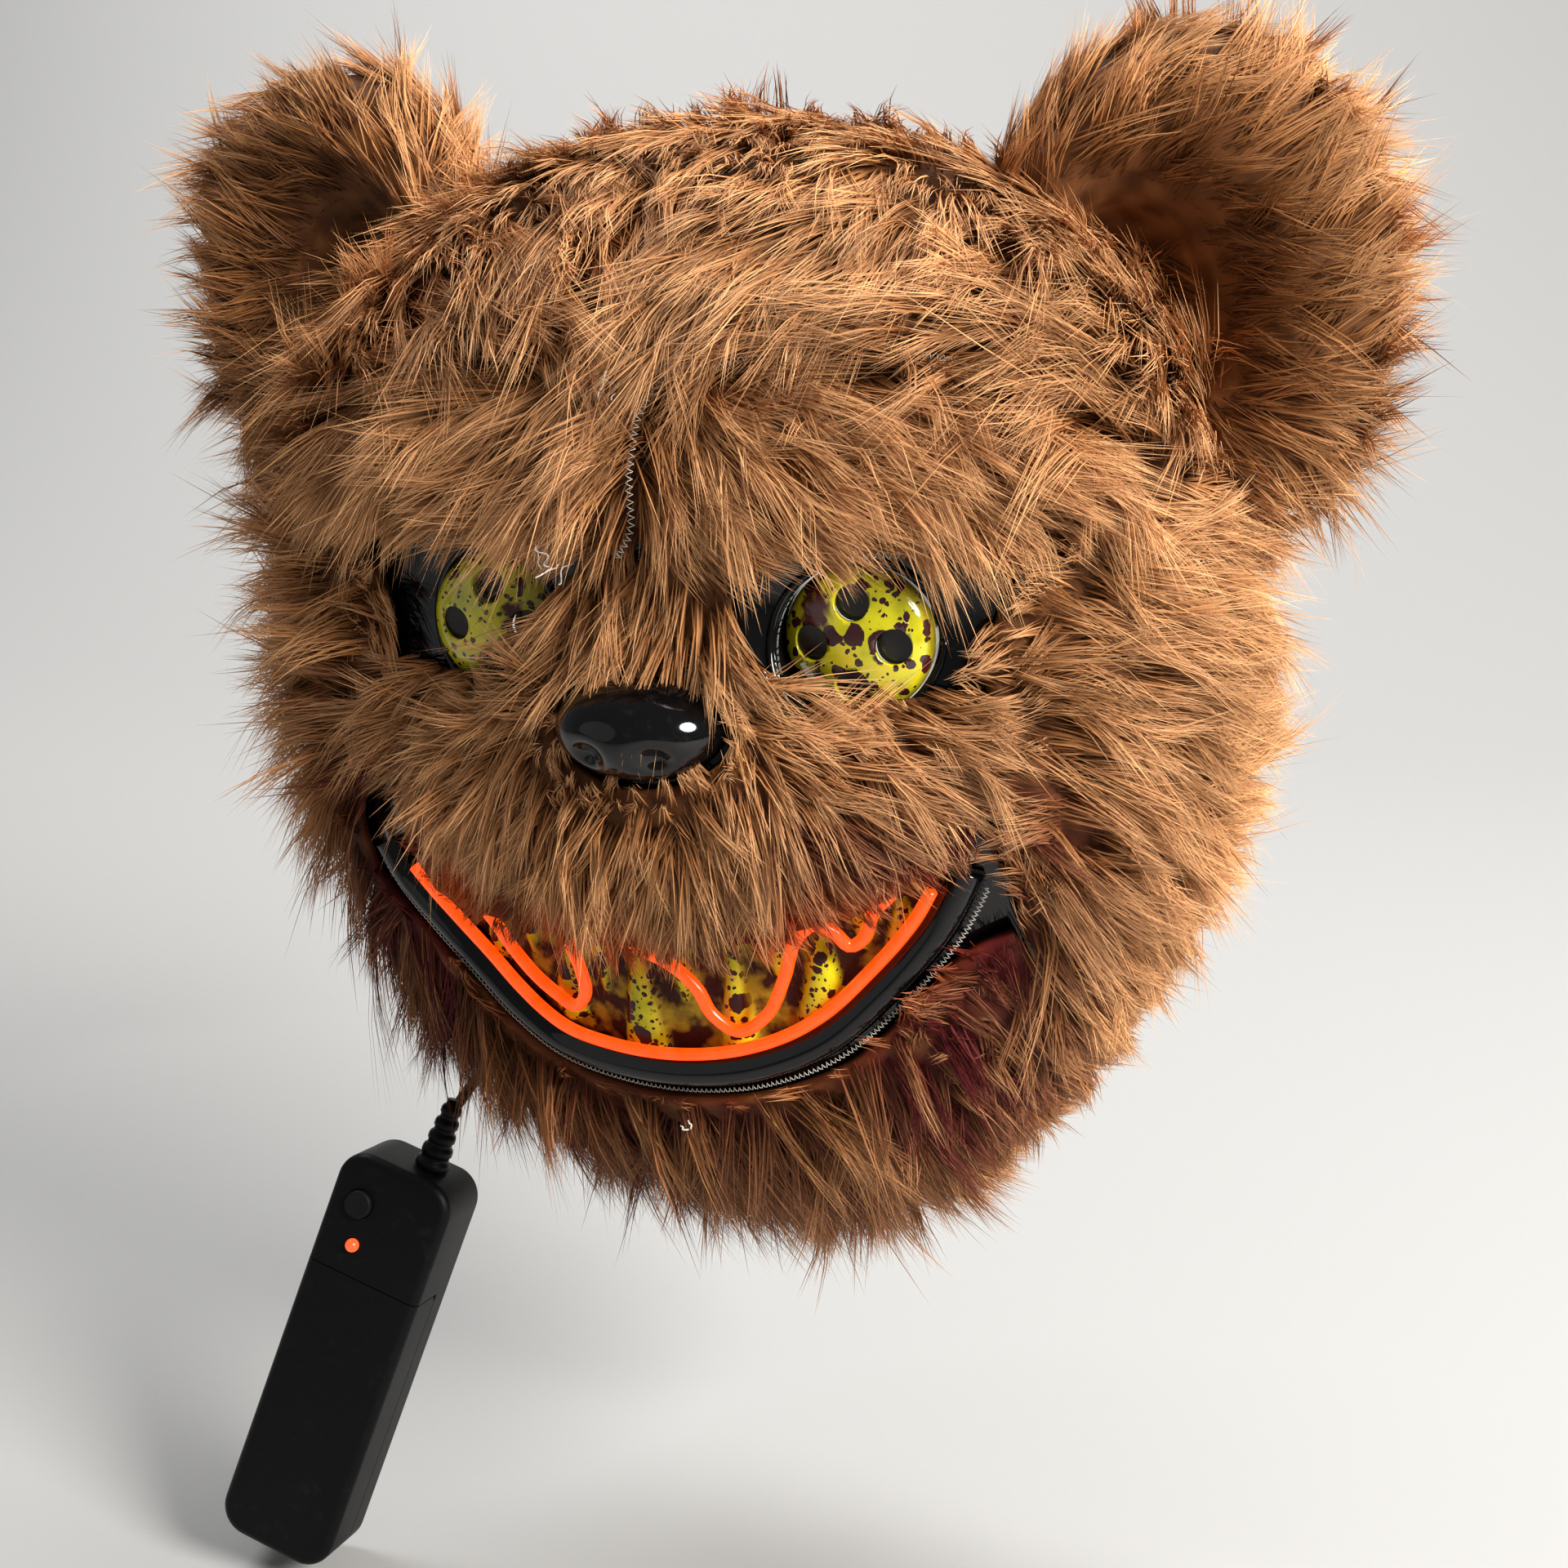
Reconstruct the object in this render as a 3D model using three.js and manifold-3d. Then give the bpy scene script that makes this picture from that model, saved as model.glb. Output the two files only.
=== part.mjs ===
// A plush bear face mask: a hard black shell under sewn fur, domed eyes, a fanged mouth with a glow wire
// and a battery pack on a lead. Millimetres, +Z up. The mask looks along -Y, and the origin is where the
// shell's inner face sits on the bridge of the nose.
import * as THREE from 'three';
import { mergeVertices } from 'three/addons/utils/BufferGeometryUtils.js';
import Module from 'manifold-3d';

const wasm = await Module();
wasm.setup();

// Sizes of the shell, measured from its centre in the plane of the rim
const shellHalfWidth = 113;
const shellLean = 4;
const shellRise = 116;
const shellDrop = 126;
const shellDepth = 73.5;
const shellWall = 1.8;
const shellFlatness = 3.1;
const outlineSquareness = 2.2;
const rimAngle = THREE.MathUtils.degToRad(89);
const eyeLevel = 17;
const clearance = 0.3;
const shellRings = 9;
const shellSpokes = 32;

// Sizes of the fur
const pileLength = 10.5;
const backingLift = 1.2;
const seamWidth = 1.5;
const hemOverhang = 0.3;
const muzzleRaise = 5.5;
const chinDroop = 19;

// Sizes of the eyes, nose, mouth and glow wire
const eyeSpacing = 83;
const eyeRadius = 16;
const eyeDomeHeight = 6.5;
const eyeWall = 1.6;
const eyeSkirt = 9;
const eyeCollar = 7;
const peepholeRadius = 3.8;
const peepholeReach = 8.8;
const noseWidth = 37;
const noseHeight = 22;
const noseDepth = 15;
const noseDrop = 16;
const lipWidth = 7.6;
const lipHeight = 4.6;
const wireRadius = 1.5;
const lineLift = 2.3;
const loopLift = 2.6;
const plateWall = 1.6;
const plateMargin = 4;
const fangRadius = 7;
const fangFlatness = 0.5;

// Sizes of the ears and the head strap
const earHalfWidth = 46;
const earHalfHeight = 58;
const earDepth = 34;
const earAcross = 99;
const earAbove = 63;
const earBack = 12;
const earCupShift = -0.4;
const headLength = 195;
const strapWidth = 22;
const strapWall = 1.5;
const strapLap = 12;

// Sizes of the battery pack and its lead
const packWidth = 33;
const packThickness = 22;
const packLength = 111;
const packCorner = 8;
const packEdge = 2.5;
const coverLength = 79;
const coverShare = 0.6;
const cellRadius = 7.1;
const cellLength = 50;
const bayDrop = 4;
const buttonRadius = 3.7;
const lightRadius = 1.8;
const leadRadius = 1.5;
const reliefLength = 19;
const glandRadius = 5;
const glandLength = 6;
const glandAcross = -63;
const glandHeight = -92;

// Raised and sunk forms of the face. Places and spreads are shares of the half width and of the rise or
// drop, and forward is a share of the depth.
const forms = [
  { name: 'brow', u: 0, w: 0.43, spreadU: 0.55, spreadW: 0.2, forward: 0.16 },
  { name: 'muzzle', u: 0, w: -0.08, spreadU: 0.42, spreadW: 0.27, forward: 0.31 },
  { name: 'jaw', u: 0, w: -0.68, spreadU: 0.48, spreadW: 0.24, forward: 0.12 },
  { name: 'left socket', u: -0.37, w: 0.15, spreadU: 0.19, spreadW: 0.18, forward: -0.06 },
  { name: 'right socket', u: 0.37, w: 0.15, spreadU: 0.19, spreadW: 0.18, forward: -0.06 },
];

// Edges of the plush pieces and the mouth, as shares of the half width (u) and of the rise or drop (w).
// An edge that runs past 1 stops at the shell's rim. The lower edge of the muzzle stands off the shell.
const edges = {
  browTop: [[0, 0.581], [0.193, 0.619], [0.405, 0.638], [0.598, 0.572], [0.82, 0.45]],
  browHem: [[0, 0.319], [0.174, 0.323], [0.376, 0.323], [0.579, 0.314], [0.762, 0.347]],
  crownTop: [[-1, 0.412], [-0.93, 0.675], [-0.617, 0.98], [0, 1.1], [0.617, 0.98], [0.93, 0.675], [1, 0.412]],
  crownFoot: [[-0.82, 0.45], [-0.598, 0.572], [-0.405, 0.638], [-0.193, 0.619], [0, 0.581], [0.193, 0.619], [0.405, 0.638],
    [0.598, 0.572], [0.82, 0.45]],
  cheekFrontLeft: [[-0.82, 0.43], [-0.78, 0.33], [-0.65, 0.25], [-0.6, 0.12], [-0.615, 0.03], [-0.66, -0.09],
    [-0.72, -0.2], [-0.78, -0.3], [-0.77, -0.4]],
  cheekFrontRight: [[0.82, 0.43], [0.78, 0.33], [0.65, 0.25], [0.6, 0.12], [0.605, 0.03], [0.615, -0.1],
    [0.62, -0.2], [0.65, -0.28], [0.66, -0.36]],
  cheekBackLeft: [[-1, 0.394], [-1, 0.253], [-1, 0.112], [-1, -0.12], [-1, -0.34], [-0.93, -0.58], [-0.84, -0.76]],
  cheekBackRight: [[1, 0.394], [1, 0.253], [1, 0.112], [1, -0.12], [1, -0.34], [0.93, -0.58], [0.84, -0.76]],
  lipFoot: [[-0.733, -0.35], [-0.685, -0.42], [-0.598, -0.495], [-0.506, -0.57], [-0.415, -0.647], [-0.309, -0.705],
    [-0.164, -0.724], [0, -0.719], [0.159, -0.687], [0.311, -0.619], [0.437, -0.509], [0.531, -0.405],
    [0.579, -0.33], [0.608, -0.27]],
  mouthTop: [[-0.685, -0.3], [-0.598, -0.33], [-0.482, -0.355], [-0.347, -0.37], [-0.193, -0.375], [0, -0.36],
    [0.193, -0.33], [0.338, -0.29], [0.463, -0.25], [0.559, -0.22]],
  chinTop: [[-0.77, -0.41], [-0.704, -0.45], [-0.608, -0.515], [-0.511, -0.595], [-0.415, -0.67], [-0.299, -0.727],
    [-0.154, -0.745], [0, -0.74], [0.164, -0.707], [0.323, -0.635], [0.453, -0.52], [0.55, -0.415], [0.646, -0.37]],
  chinFoot: [[-0.84, -0.76], [-0.656, -0.86], [-0.463, -0.96], [-0.232, -1.05], [0, -1.1], [0.232, -1.05],
    [0.463, -0.96], [0.656, -0.86], [0.84, -0.76]],
};

// The muzzle's outer edge, all the way round from the bridge of the nose. Raise is a share of muzzleRaise.
const muzzleEdge = [
  { u: 0, w: 0.3, raise: 0 },
  { u: 0.125, w: 0.27, raise: 0 },
  { u: 0.165, w: 0.13, raise: 0 },
  { u: 0.24, w: 0.01, raise: 0 },
  { u: 0.36, w: -0.035, raise: 0 },
  { u: 0.46, w: -0.015, raise: 0 },
  { u: 0.56, w: 0.05, raise: 0 },
  { u: 0.59, w: -0.08, raise: 0.2 },
  { u: 0.575, w: -0.2, raise: 0.8 },
  { u: 0.45, w: -0.265, raise: 1 },
  { u: 0.3, w: -0.32, raise: 1 },
  { u: 0.1, w: -0.37, raise: 1 },
  { u: -0.135, w: -0.395, raise: 1 },
  { u: -0.35, w: -0.395, raise: 1 },
  { u: -0.52, w: -0.37, raise: 0.9 },
  { u: -0.6, w: -0.24, raise: 0.5 },
  { u: -0.6, w: -0.08, raise: 0.1 },
  { u: -0.56, w: 0.05, raise: 0 },
  { u: -0.46, w: -0.015, raise: 0 },
  { u: -0.36, w: -0.035, raise: 0 },
  { u: -0.24, w: 0.01, raise: 0 },
  { u: -0.18, w: 0.13, raise: 0 },
  { u: -0.14, w: 0.27, raise: 0 },
];

// Fangs: foot and tip are shares as above, and girth is a share of fangRadius
const fangs = [
  { u: -0.453, foot: -0.52, tip: -0.41, girth: 0.65 },
  { u: -0.367, foot: -0.38, tip: -0.53, girth: 0.65 },
  { u: -0.28, foot: -0.61, tip: -0.44, girth: 0.8 },
  { u: -0.193, foot: -0.4, tip: -0.58, girth: 0.65 },
  { u: -0.106, foot: -0.66, tip: -0.43, girth: 1 },
  { u: -0.01, foot: -0.38, tip: -0.57, girth: 0.8 },
  { u: 0.101, foot: -0.635, tip: -0.4, girth: 0.75 },
  { u: 0.188, foot: -0.36, tip: -0.5, girth: 0.65 },
  { u: 0.28, foot: -0.57, tip: -0.38, girth: 1 },
  { u: 0.367, foot: -0.3, tip: -0.44, girth: 0.65 },
  { u: 0.444, foot: -0.43, tip: -0.31, girth: 0.7 },
];

// The upper run of the glow wire, which dips in three loops between the fangs, as shares
const wireLoops = [
  [-0.482, -0.395], [-0.434, -0.43], [-0.386, -0.49], [-0.338, -0.535], [-0.289, -0.565], [-0.246, -0.582],
  [-0.217, -0.55], [-0.224, -0.5], [-0.241, -0.44], [-0.212, -0.4], [-0.154, -0.405], [-0.096, -0.43],
  [-0.019, -0.46], [0.033, -0.505], [0.062, -0.555], [0.114, -0.583], [0.174, -0.545], [0.212, -0.47],
  [0.241, -0.39], [0.28, -0.355], [0.315, -0.37], [0.345, -0.4], [0.375, -0.38], [0.395, -0.33], [0.43, -0.295],
];

// An ear from the middle of its back, over the rim, to the bottom of its cup
const earProfile = [
  { radius: 0, depth: 0.36, tuft: 0 },
  { radius: 0.6, depth: 0.32, tuft: 0 },
  { radius: 0.9, depth: 0.12, tuft: 0.5 },
  { radius: 0.99, depth: -0.18, tuft: 1 },
  { radius: 0.9, depth: -0.46, tuft: 0.7 },
  { radius: 0.7, depth: -0.62, tuft: 0.5 },
  { radius: 0.5, depth: -0.5, tuft: 0.3 },
  { radius: 0.33, depth: -0.2, tuft: 0 },
  { radius: 0, depth: 0, tuft: 0 },
];

// The lead after it leaves the gland: back round the rim and down to the strain relief
const leadRoute = [
  [-71, -6, -103], [-76, 7, -112], [-80, 8, -123], [-82, -8, -132], [-82, -28, -137], [-83.5, -41, -142],
];

const colours = {
  fur: 0xb07a4c,
  innerFur: 0x8a5a36,
  blackPlastic: 0x0b0b0c,
  eyeYellow: 0xc9c41e,
  fangYellow: 0xb3a72a,
  glow: 0xff4a12,
  elastic: 0x161616,
  packBlack: 0x121214,
  steel: 0xb8b8bc,
  lamp: 0xff5020,
};

function power(value, exponent) {
  return Math.sign(value) * Math.abs(value) ** exponent;
}

// A repeatable number from -1 to 1 for each pair of counts, to vary the locks
function vary(a, b) {
  const wave = Math.sin(a * 12.9898 + b * 78.233) * 43758.5453;
  return 2 * (wave - Math.floor(wave)) - 1;
}

// The chart of the shell: the angle from the nose axis, laid out as a flat vector around it
function chart(u, w) {
  const across = power(u, outlineSquareness / 2);
  const upward = power(w, outlineSquareness / 2);
  const share = Math.hypot(across, upward) ** (2 / outlineSquareness);
  const tilt = Math.asin(Math.min(Math.sin(rimAngle), share ** (shellFlatness / 2)));
  const turn = Math.atan2(upward, across);
  return new THREE.Vector2(tilt * Math.cos(turn), tilt * Math.sin(turn));
}

function relief(u, w) {
  let sum = 0;
  for (const form of forms) {
    const du = (u - form.u) / form.spreadU;
    const dw = (w - form.w) / form.spreadW;
    sum += form.forward * Math.exp(-du * du - dw * dw);
  }
  return sum;
}

function facePoint(spot) {
  const tilt = spot.length();
  const turn = Math.atan2(spot.y, spot.x);
  const spread = power(Math.sin(tilt), 2 / shellFlatness);
  const u = power(Math.cos(turn), 2 / outlineSquareness) * spread;
  const w = power(Math.sin(turn), 2 / outlineSquareness) * spread;
  const fade = THREE.MathUtils.clamp(3 * Math.cos(tilt), 0, 1);
  const front = power(Math.cos(tilt), 2 / shellFlatness) + fade * relief(u, w);
  const height = w > 0 ? shellRise : shellDrop;
  return new THREE.Vector3(shareX(u), -front * shellDepth, w * height - eyeLevel);
}

function faceNormal(spot) {
  const step = 0.02;
  const east = facePoint(new THREE.Vector2(spot.x + step, spot.y));
  const west = facePoint(new THREE.Vector2(spot.x - step, spot.y));
  const north = facePoint(new THREE.Vector2(spot.x, spot.y + step));
  const south = facePoint(new THREE.Vector2(spot.x, spot.y - step));
  return east.sub(west).cross(north.sub(south)).normalize();
}

function lifted(spot, lift) {
  return facePoint(spot).addScaledVector(faceNormal(spot), lift);
}

// The chart spot of a point seen from the front, in millimetres from the eye level
function spotAt(x, z) {
  const height = z + eyeLevel > 0 ? shellRise : shellDrop;
  const lean = shellLean / shellHalfWidth;
  const u = lean === 0 ? x / shellHalfWidth : (1 - Math.sqrt(1 - 4 * lean * x / shellHalfWidth)) / (2 * lean);
  return chart(u, (z + eyeLevel) / height);
}

// The mask leans to its left as worn in the photograph's view, more so toward its sides
function shareX(u) {
  return u * shellHalfWidth - u * u * shellLean;
}

function shareZ(w) {
  return w * (w > 0 ? shellRise : shellDrop) - eyeLevel;
}

// Geometry from points and triangles, turned so that its faces look outward
function meshOf(points, triangles) {
  const geometry = new THREE.BufferGeometry();
  geometry.setAttribute('position', new THREE.Float32BufferAttribute(points.flatMap((p) => p.toArray()), 3));
  let volume = 0;
  const across = new THREE.Vector3();
  for (const [a, b, c] of triangles) {
    volume += points[a].dot(across.crossVectors(points[b], points[c]));
  }
  const turned = volume < 0 ? triangles.map(([a, b, c]) => [a, c, b]) : triangles;
  geometry.setIndex(turned.flat());
  geometry.computeVertexNormals();
  return geometry;
}

// A closed sheet between an outer and an inner grid of points, whose counts may differ. A ring joins its
// last column to its first.
function sheet(outer, inner, ring = false) {
  const points = [];
  const triangles = [];

  function addGrid(grid, reversed) {
    const start = points.length;
    const columns = grid[0].length;
    const spans = ring ? columns : columns - 1;
    grid.forEach((row) => points.push(...row));
    for (let i = 0; i < grid.length - 1; i += 1) {
      for (let j = 0; j < spans; j += 1) {
        const a = start + i * columns + j;
        const b = start + i * columns + (j + 1) % columns;
        const c = a + columns;
        const d = b + columns;
        triangles.push(reversed ? [a, d, b] : [a, b, d], reversed ? [a, c, d] : [a, d, c]);
      }
    }
    const row = (i) => Array.from({ length: columns + (ring ? 1 : 0) }, (_, j) => start + i * columns + j % columns);
    const column = (j) => Array.from({ length: grid.length }, (_, i) => start + i * columns + j);
    const last = row(grid.length - 1).reverse();
    return ring ? [row(0), last] : [row(0), column(columns - 1), last, column(0).reverse()];
  }

  // A wall between two edges with the same ends, made by stepping along whichever lags behind
  function addWall(high, low) {
    let i = 0;
    let j = 0;
    while (i < high.length - 1 || j < low.length - 1) {
      if (j === low.length - 1 || (i < high.length - 1 && (i + 1) * (low.length - 1) <= (j + 1) * (high.length - 1))) {
        triangles.push([high[i + 1], high[i], low[j]]);
        i += 1;
      } else {
        triangles.push([low[j], low[j + 1], high[i]]);
        j += 1;
      }
    }
  }

  const highEdges = addGrid(outer, false);
  const lowEdges = addGrid(inner, true);
  highEdges.forEach((edge, side) => addWall(edge, lowEdges[side]));
  return meshOf(points, triangles);
}

function toSolid(geometry) {
  const bare = geometry.clone();
  bare.deleteAttribute('normal');
  bare.deleteAttribute('uv');
  const merged = mergeVertices(bare, 1e-4);
  const corners = merged.index.array;
  const kept = [];
  for (let i = 0; i < corners.length; i += 3) {
    const [a, b, c] = [corners[i], corners[i + 1], corners[i + 2]];
    if (a !== b && b !== c && c !== a) kept.push(a, b, c);
  }
  return new wasm.Manifold(new wasm.Mesh({
    numProp: 3,
    vertProperties: new Float32Array(merged.attributes.position.array),
    triVerts: new Uint32Array(kept),
  }));
}

function toGeometry(solid) {
  const mesh = solid.getMesh();
  const geometry = new THREE.BufferGeometry();
  geometry.setAttribute('position', new THREE.Float32BufferAttribute(mesh.vertProperties, 3));
  geometry.setIndex(Array.from(mesh.triVerts));
  geometry.computeVertexNormals();
  return geometry;
}

function piece(name, geometry, colour, roughness, metalness = 0) {
  const mesh = new THREE.Mesh(geometry, new THREE.MeshStandardMaterial({ color: colour, roughness, metalness }));
  mesh.name = name;
  return mesh;
}

function edgeCurve(stations) {
  return new THREE.SplineCurve(stations.map(([u, w]) => chart(u, w)));
}

function mirrored(stations) {
  return stations.map(([u, w]) => [-u, w]);
}

// A place between two edges of a plush piece, kept half a seam's width inside them
function between(from, to, across, along) {
  const inset = seamWidth / 2 / shellDepth;
  const width = from.getPoint(0).distanceTo(from.getPoint(1)) / 2 + to.getPoint(0).distanceTo(to.getPoint(1)) / 2;
  const side = Math.min(0.1, inset / width);
  const s = THREE.MathUtils.lerp(side, 1 - side, across);
  const start = from.getPoint(s);
  const end = to.getPoint(s);
  const margin = inset / start.distanceTo(end);
  return start.lerp(end, margin + (1 - 2 * margin) * along);
}

// Fur in rows of pointed locks over a backing. Each row rises from its roots to a zigzag of tips, and the
// next row starts below them, half a lock to the side.
function lockGrid(place, rows, locks, ring, overhang = 0) {
  const outer = [];
  const columns = ring ? 2 * locks : 2 * locks + 1;
  for (let r = 0; r < rows; r += 1) {
    const roots = [];
    const tips = [];
    for (let j = 0; j < columns; j += 1) {
      const crest = (j + r) % 2 === 1;
      const wild = vary(r, j);
      const lastRow = r === rows - 1;
      const reach = crest ? 0.92 + 0.03 * wild + (lastRow ? 0.05 + overhang : 0) : 0.68 + 0.06 * wild;
      const tipHeight = crest ? 0.9 + 0.06 * wild : 0.6 + 0.08 * wild;
      const rootHeight = crest ? 0.62 : 0.42;
      roots.push(place(j / (2 * locks), r / rows, pileLength * rootHeight));
      tips.push(place(j / (2 * locks), (r + reach) / rows, pileLength * tipHeight));
    }
    outer.push(roots, tips);
  }
  const inner = [];
  for (let r = 0; r <= rows; r += 1) {
    inner.push(Array.from({ length: ring ? locks : locks + 1 }, (_, j) => place(j / locks, r / rows, 0)));
  }
  return sheet(outer, inner, ring);
}

function plushPatch(fromStations, toStations, rows, locks, overhang = 0, droop = 0) {
  const from = edgeCurve(fromStations);
  const to = edgeCurve(toStations);
  const place = (across, along, height) => {
    const point = lifted(between(from, to, across, along), backingLift + height);
    point.z -= droop * Math.sin(Math.PI * across) * along * along;
    return point;
  };
  return clearOfShell(lockGrid(place, rows, locks, false, overhang));
}

// The muzzle is a ring round the nose, and its lower edge stands off the shell over the mouth
function muzzlePlush(rows, locks) {
  const rim = new THREE.CatmullRomCurve3(
    muzzleEdge.map(({ u, w, raise }) => {
      const spot = chart(u, w);
      return new THREE.Vector3(spot.x, spot.y, raise);
    }),
    true,
  );
  const margin = seamWidth / 2 / shellDepth;
  const place = (across, along, height) => {
    const edge = rim.getPoint(across % 1);
    const outer = new THREE.Vector2(edge.x, edge.y);
    const turn = Math.atan2(outer.y, outer.x);
    const x = (noseWidth / 2 + seamWidth) * Math.cos(turn);
    const z = (noseHeight / 2 + seamWidth) * Math.sin(turn) - noseDrop;
    const inner = spotAt(x, z);
    const span = inner.distanceTo(outer);
    const spot = inner.lerp(outer, along * (1 - margin / span));
    return lifted(spot, backingLift + height + muzzleRaise * edge.z * along * along);
  };
  return clearOfShell(lockGrid(place, rows, locks, true, hemOverhang));
}

function faceGrid(rings, spokes, lift, endAngle = rimAngle) {
  const grid = [];
  for (let i = 0; i <= rings; i += 1) {
    const row = [];
    for (let j = 0; j < spokes; j += 1) {
      const tilt = Math.max(1e-4, endAngle * i / rings);
      const turn = 2 * Math.PI * j / spokes;
      row.push(lifted(new THREE.Vector2(tilt * Math.cos(turn), tilt * Math.sin(turn)), lift));
    }
    if (i === 0) row.forEach((point) => point.copy(row[0]));
    grid.push(row);
  }
  return grid;
}

// A rod along Y with the outline of a shape in X and Z, for cutting through the face
function throughCut(shape) {
  const reach = 3 * shellDepth;
  const geometry = new THREE.ExtrudeGeometry(shape, { depth: reach, bevelEnabled: false, curveSegments: 10 });
  geometry.rotateX(Math.PI / 2);
  return toSolid(geometry);
}

function circle(x, z, radius) {
  const shape = new THREE.Shape();
  shape.absarc(x, z, radius, 0, 2 * Math.PI);
  return shape;
}

// The line of the lower lip seen from the front, moved up into the mouth by a distance in millimetres
function lipLine(inward) {
  const foot = new THREE.SplineCurve(edges.lipFoot.map(([u, w]) => new THREE.Vector2(shareX(u), shareZ(w))));
  return (share) => {
    const point = foot.getPoint(share);
    const tangent = foot.getTangent(share);
    return point.add(new THREE.Vector2(-tangent.y, tangent.x).multiplyScalar(inward));
  };
}

function mouthOutline() {
  const lower = lipLine(lipWidth);
  const upper = new THREE.SplineCurve(edges.mouthTop.map(([u, w]) => new THREE.Vector2(shareX(u), shareZ(w))));
  const corners = 20;
  const points = [];
  for (let i = 0; i <= corners; i += 1) points.push(lower(0.04 + 0.92 * i / corners));
  for (let i = corners; i >= 0; i -= 1) points.push(upper.getPoint(0.06 + 0.88 * i / corners));
  return new THREE.Shape(points);
}

function maskShell() {
  const outer = faceGrid(shellRings, shellSpokes, 0);
  const inner = faceGrid(shellRings, shellSpokes, -shellWall);
  let solid = toSolid(sheet(outer, inner, true));
  const filled = faceEnvelope(0, shellRings, shellSpokes);
  for (const side of [-1, 1]) {
    const x = side * eyeSpacing / 2;
    const collar = new THREE.CylinderGeometry(eyeRadius + shellWall, eyeRadius + shellWall, 3 * eyeCollar, 16);
    collar.translate(x, eyeSeat() + eyeCollar - 1.5 * eyeCollar, 0);
    solid = solid.add(toSolid(collar).intersect(filled));
    solid = solid.subtract(throughCut(circle(x, 0, eyeRadius + clearance)));
  }
  return toGeometry(solid.subtract(throughCut(mouthOutline())));
}

// Everything that lies under a given height over the shell, as far back as the ears reach
function faceEnvelope(lift, rings, spokes) {
  const front = faceGrid(rings, spokes, lift);
  const back = front.map((row) => row.map((point) => new THREE.Vector3(point.x, shellDepth, point.z)));
  return toSolid(sheet(front, back, true));
}

// The space that the shell needs, which the plush keeps out of
const underShell = faceEnvelope(clearance, shellRings, shellSpokes);

function clearOfShell(geometry) {
  return toGeometry(toSolid(geometry).subtract(underShell));
}

// Where the foot of an eye dome lies from front to back
function eyeSeat() {
  return facePoint(spotAt(eyeSpacing / 2, 0)).y;
}

// A dome with a straight skirt that goes through the shell, and see-through holes in a diamond
function eyeDome() {
  const profile = [];
  const arcSteps = 4;
  const dome = (radius, height) => {
    for (let i = 0; i <= arcSteps; i += 1) {
      const angle = Math.PI / 2 * i / arcSteps;
      profile.push(new THREE.Vector2(radius * Math.cos(angle), height * Math.sin(angle)));
    }
  };
  profile.push(new THREE.Vector2(eyeRadius, -eyeSkirt));
  dome(eyeRadius, eyeDomeHeight);
  const outerCount = profile.length;
  dome(eyeRadius - eyeWall, eyeDomeHeight - eyeWall);
  const inside = profile.splice(outerCount).reverse();
  profile.push(...inside, new THREE.Vector2(eyeRadius - eyeWall, -eyeSkirt), profile[0].clone());
  profile.forEach((point) => {
    if (point.x < 1e-6) point.x = 0;
  });
  const lathe = new THREE.LatheGeometry(profile, 18);
  lathe.rotateX(Math.PI);
  let solid = toSolid(lathe);
  for (let i = 0; i < 4; i += 1) {
    const angle = Math.PI / 2 * i;
    const hole = new THREE.CylinderGeometry(peepholeRadius, peepholeRadius, 3 * eyeDomeHeight, 8);
    hole.translate(peepholeReach * Math.cos(angle), 0, peepholeReach * Math.sin(angle));
    solid = solid.subtract(toSolid(hole));
  }
  return toGeometry(solid);
}

// The nose: rings out from its tip, with two nostrils sunk in its lower front, on a base that fits the shell
function noseSolid() {
  const rings = 6;
  const spokes = 18;
  const tip = facePoint(spotAt(0, -noseDrop)).y - noseDepth;
  const spotOf = (share, j) => {
    const turn = 2 * Math.PI * j / spokes;
    const x = noseWidth / 2 * share * Math.cos(turn);
    return new THREE.Vector2(x, noseHeight / 2 * share * Math.sin(turn) - noseDrop);
  };
  const ring = (share, height) => Array.from({ length: spokes }, (_, j) => height(spotOf(share, j), share));
  const base = (spot) => lifted(spotAt(spot.x, spot.y), backingLift);
  const surface = (spot, share) => {
    const dx = (Math.abs(spot.x) / noseWidth - 0.2) / 0.1;
    const dz = ((spot.y + noseDrop) / noseHeight + 0.16) / 0.14;
    const dent = 0.22 * noseDepth * Math.exp(-dx * dx - dz * dz);
    const y = tip + noseDepth * (1 - Math.sqrt(1 - share * share)) + dent;
    return new THREE.Vector3(spot.x, Math.min(y, base(spot).y - clearance), spot.y);
  };
  const outer = Array.from({ length: rings + 1 }, (_, i) => ring(Math.sin(Math.PI / 2 * i / rings), surface));
  const inner = [0, 0.5, 1].map((share) => ring(share, base));
  return clearOfShell(sheet(outer, inner, true));
}

// A rounded rim that follows the lower lip on the shell
function lipRim() {
  const rounds = 5;
  const steps = 26;
  const outer = [];
  const inner = [];
  for (let i = 0; i <= rounds; i += 1) {
    const line = lipLine(clearance + (lipWidth - clearance) * i / rounds);
    const height = lipHeight * Math.sin(Math.PI * (0.08 + 0.84 * i / rounds));
    const row = (lift) => Array.from({ length: steps + 1 }, (_, j) => {
      const point = line(j / steps);
      return lifted(spotAt(point.x, point.y), lift);
    });
    outer.push(row(clearance + height));
    inner.push(row(clearance));
  }
  return sheet(outer, [inner[0], inner[rounds]]);
}

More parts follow.
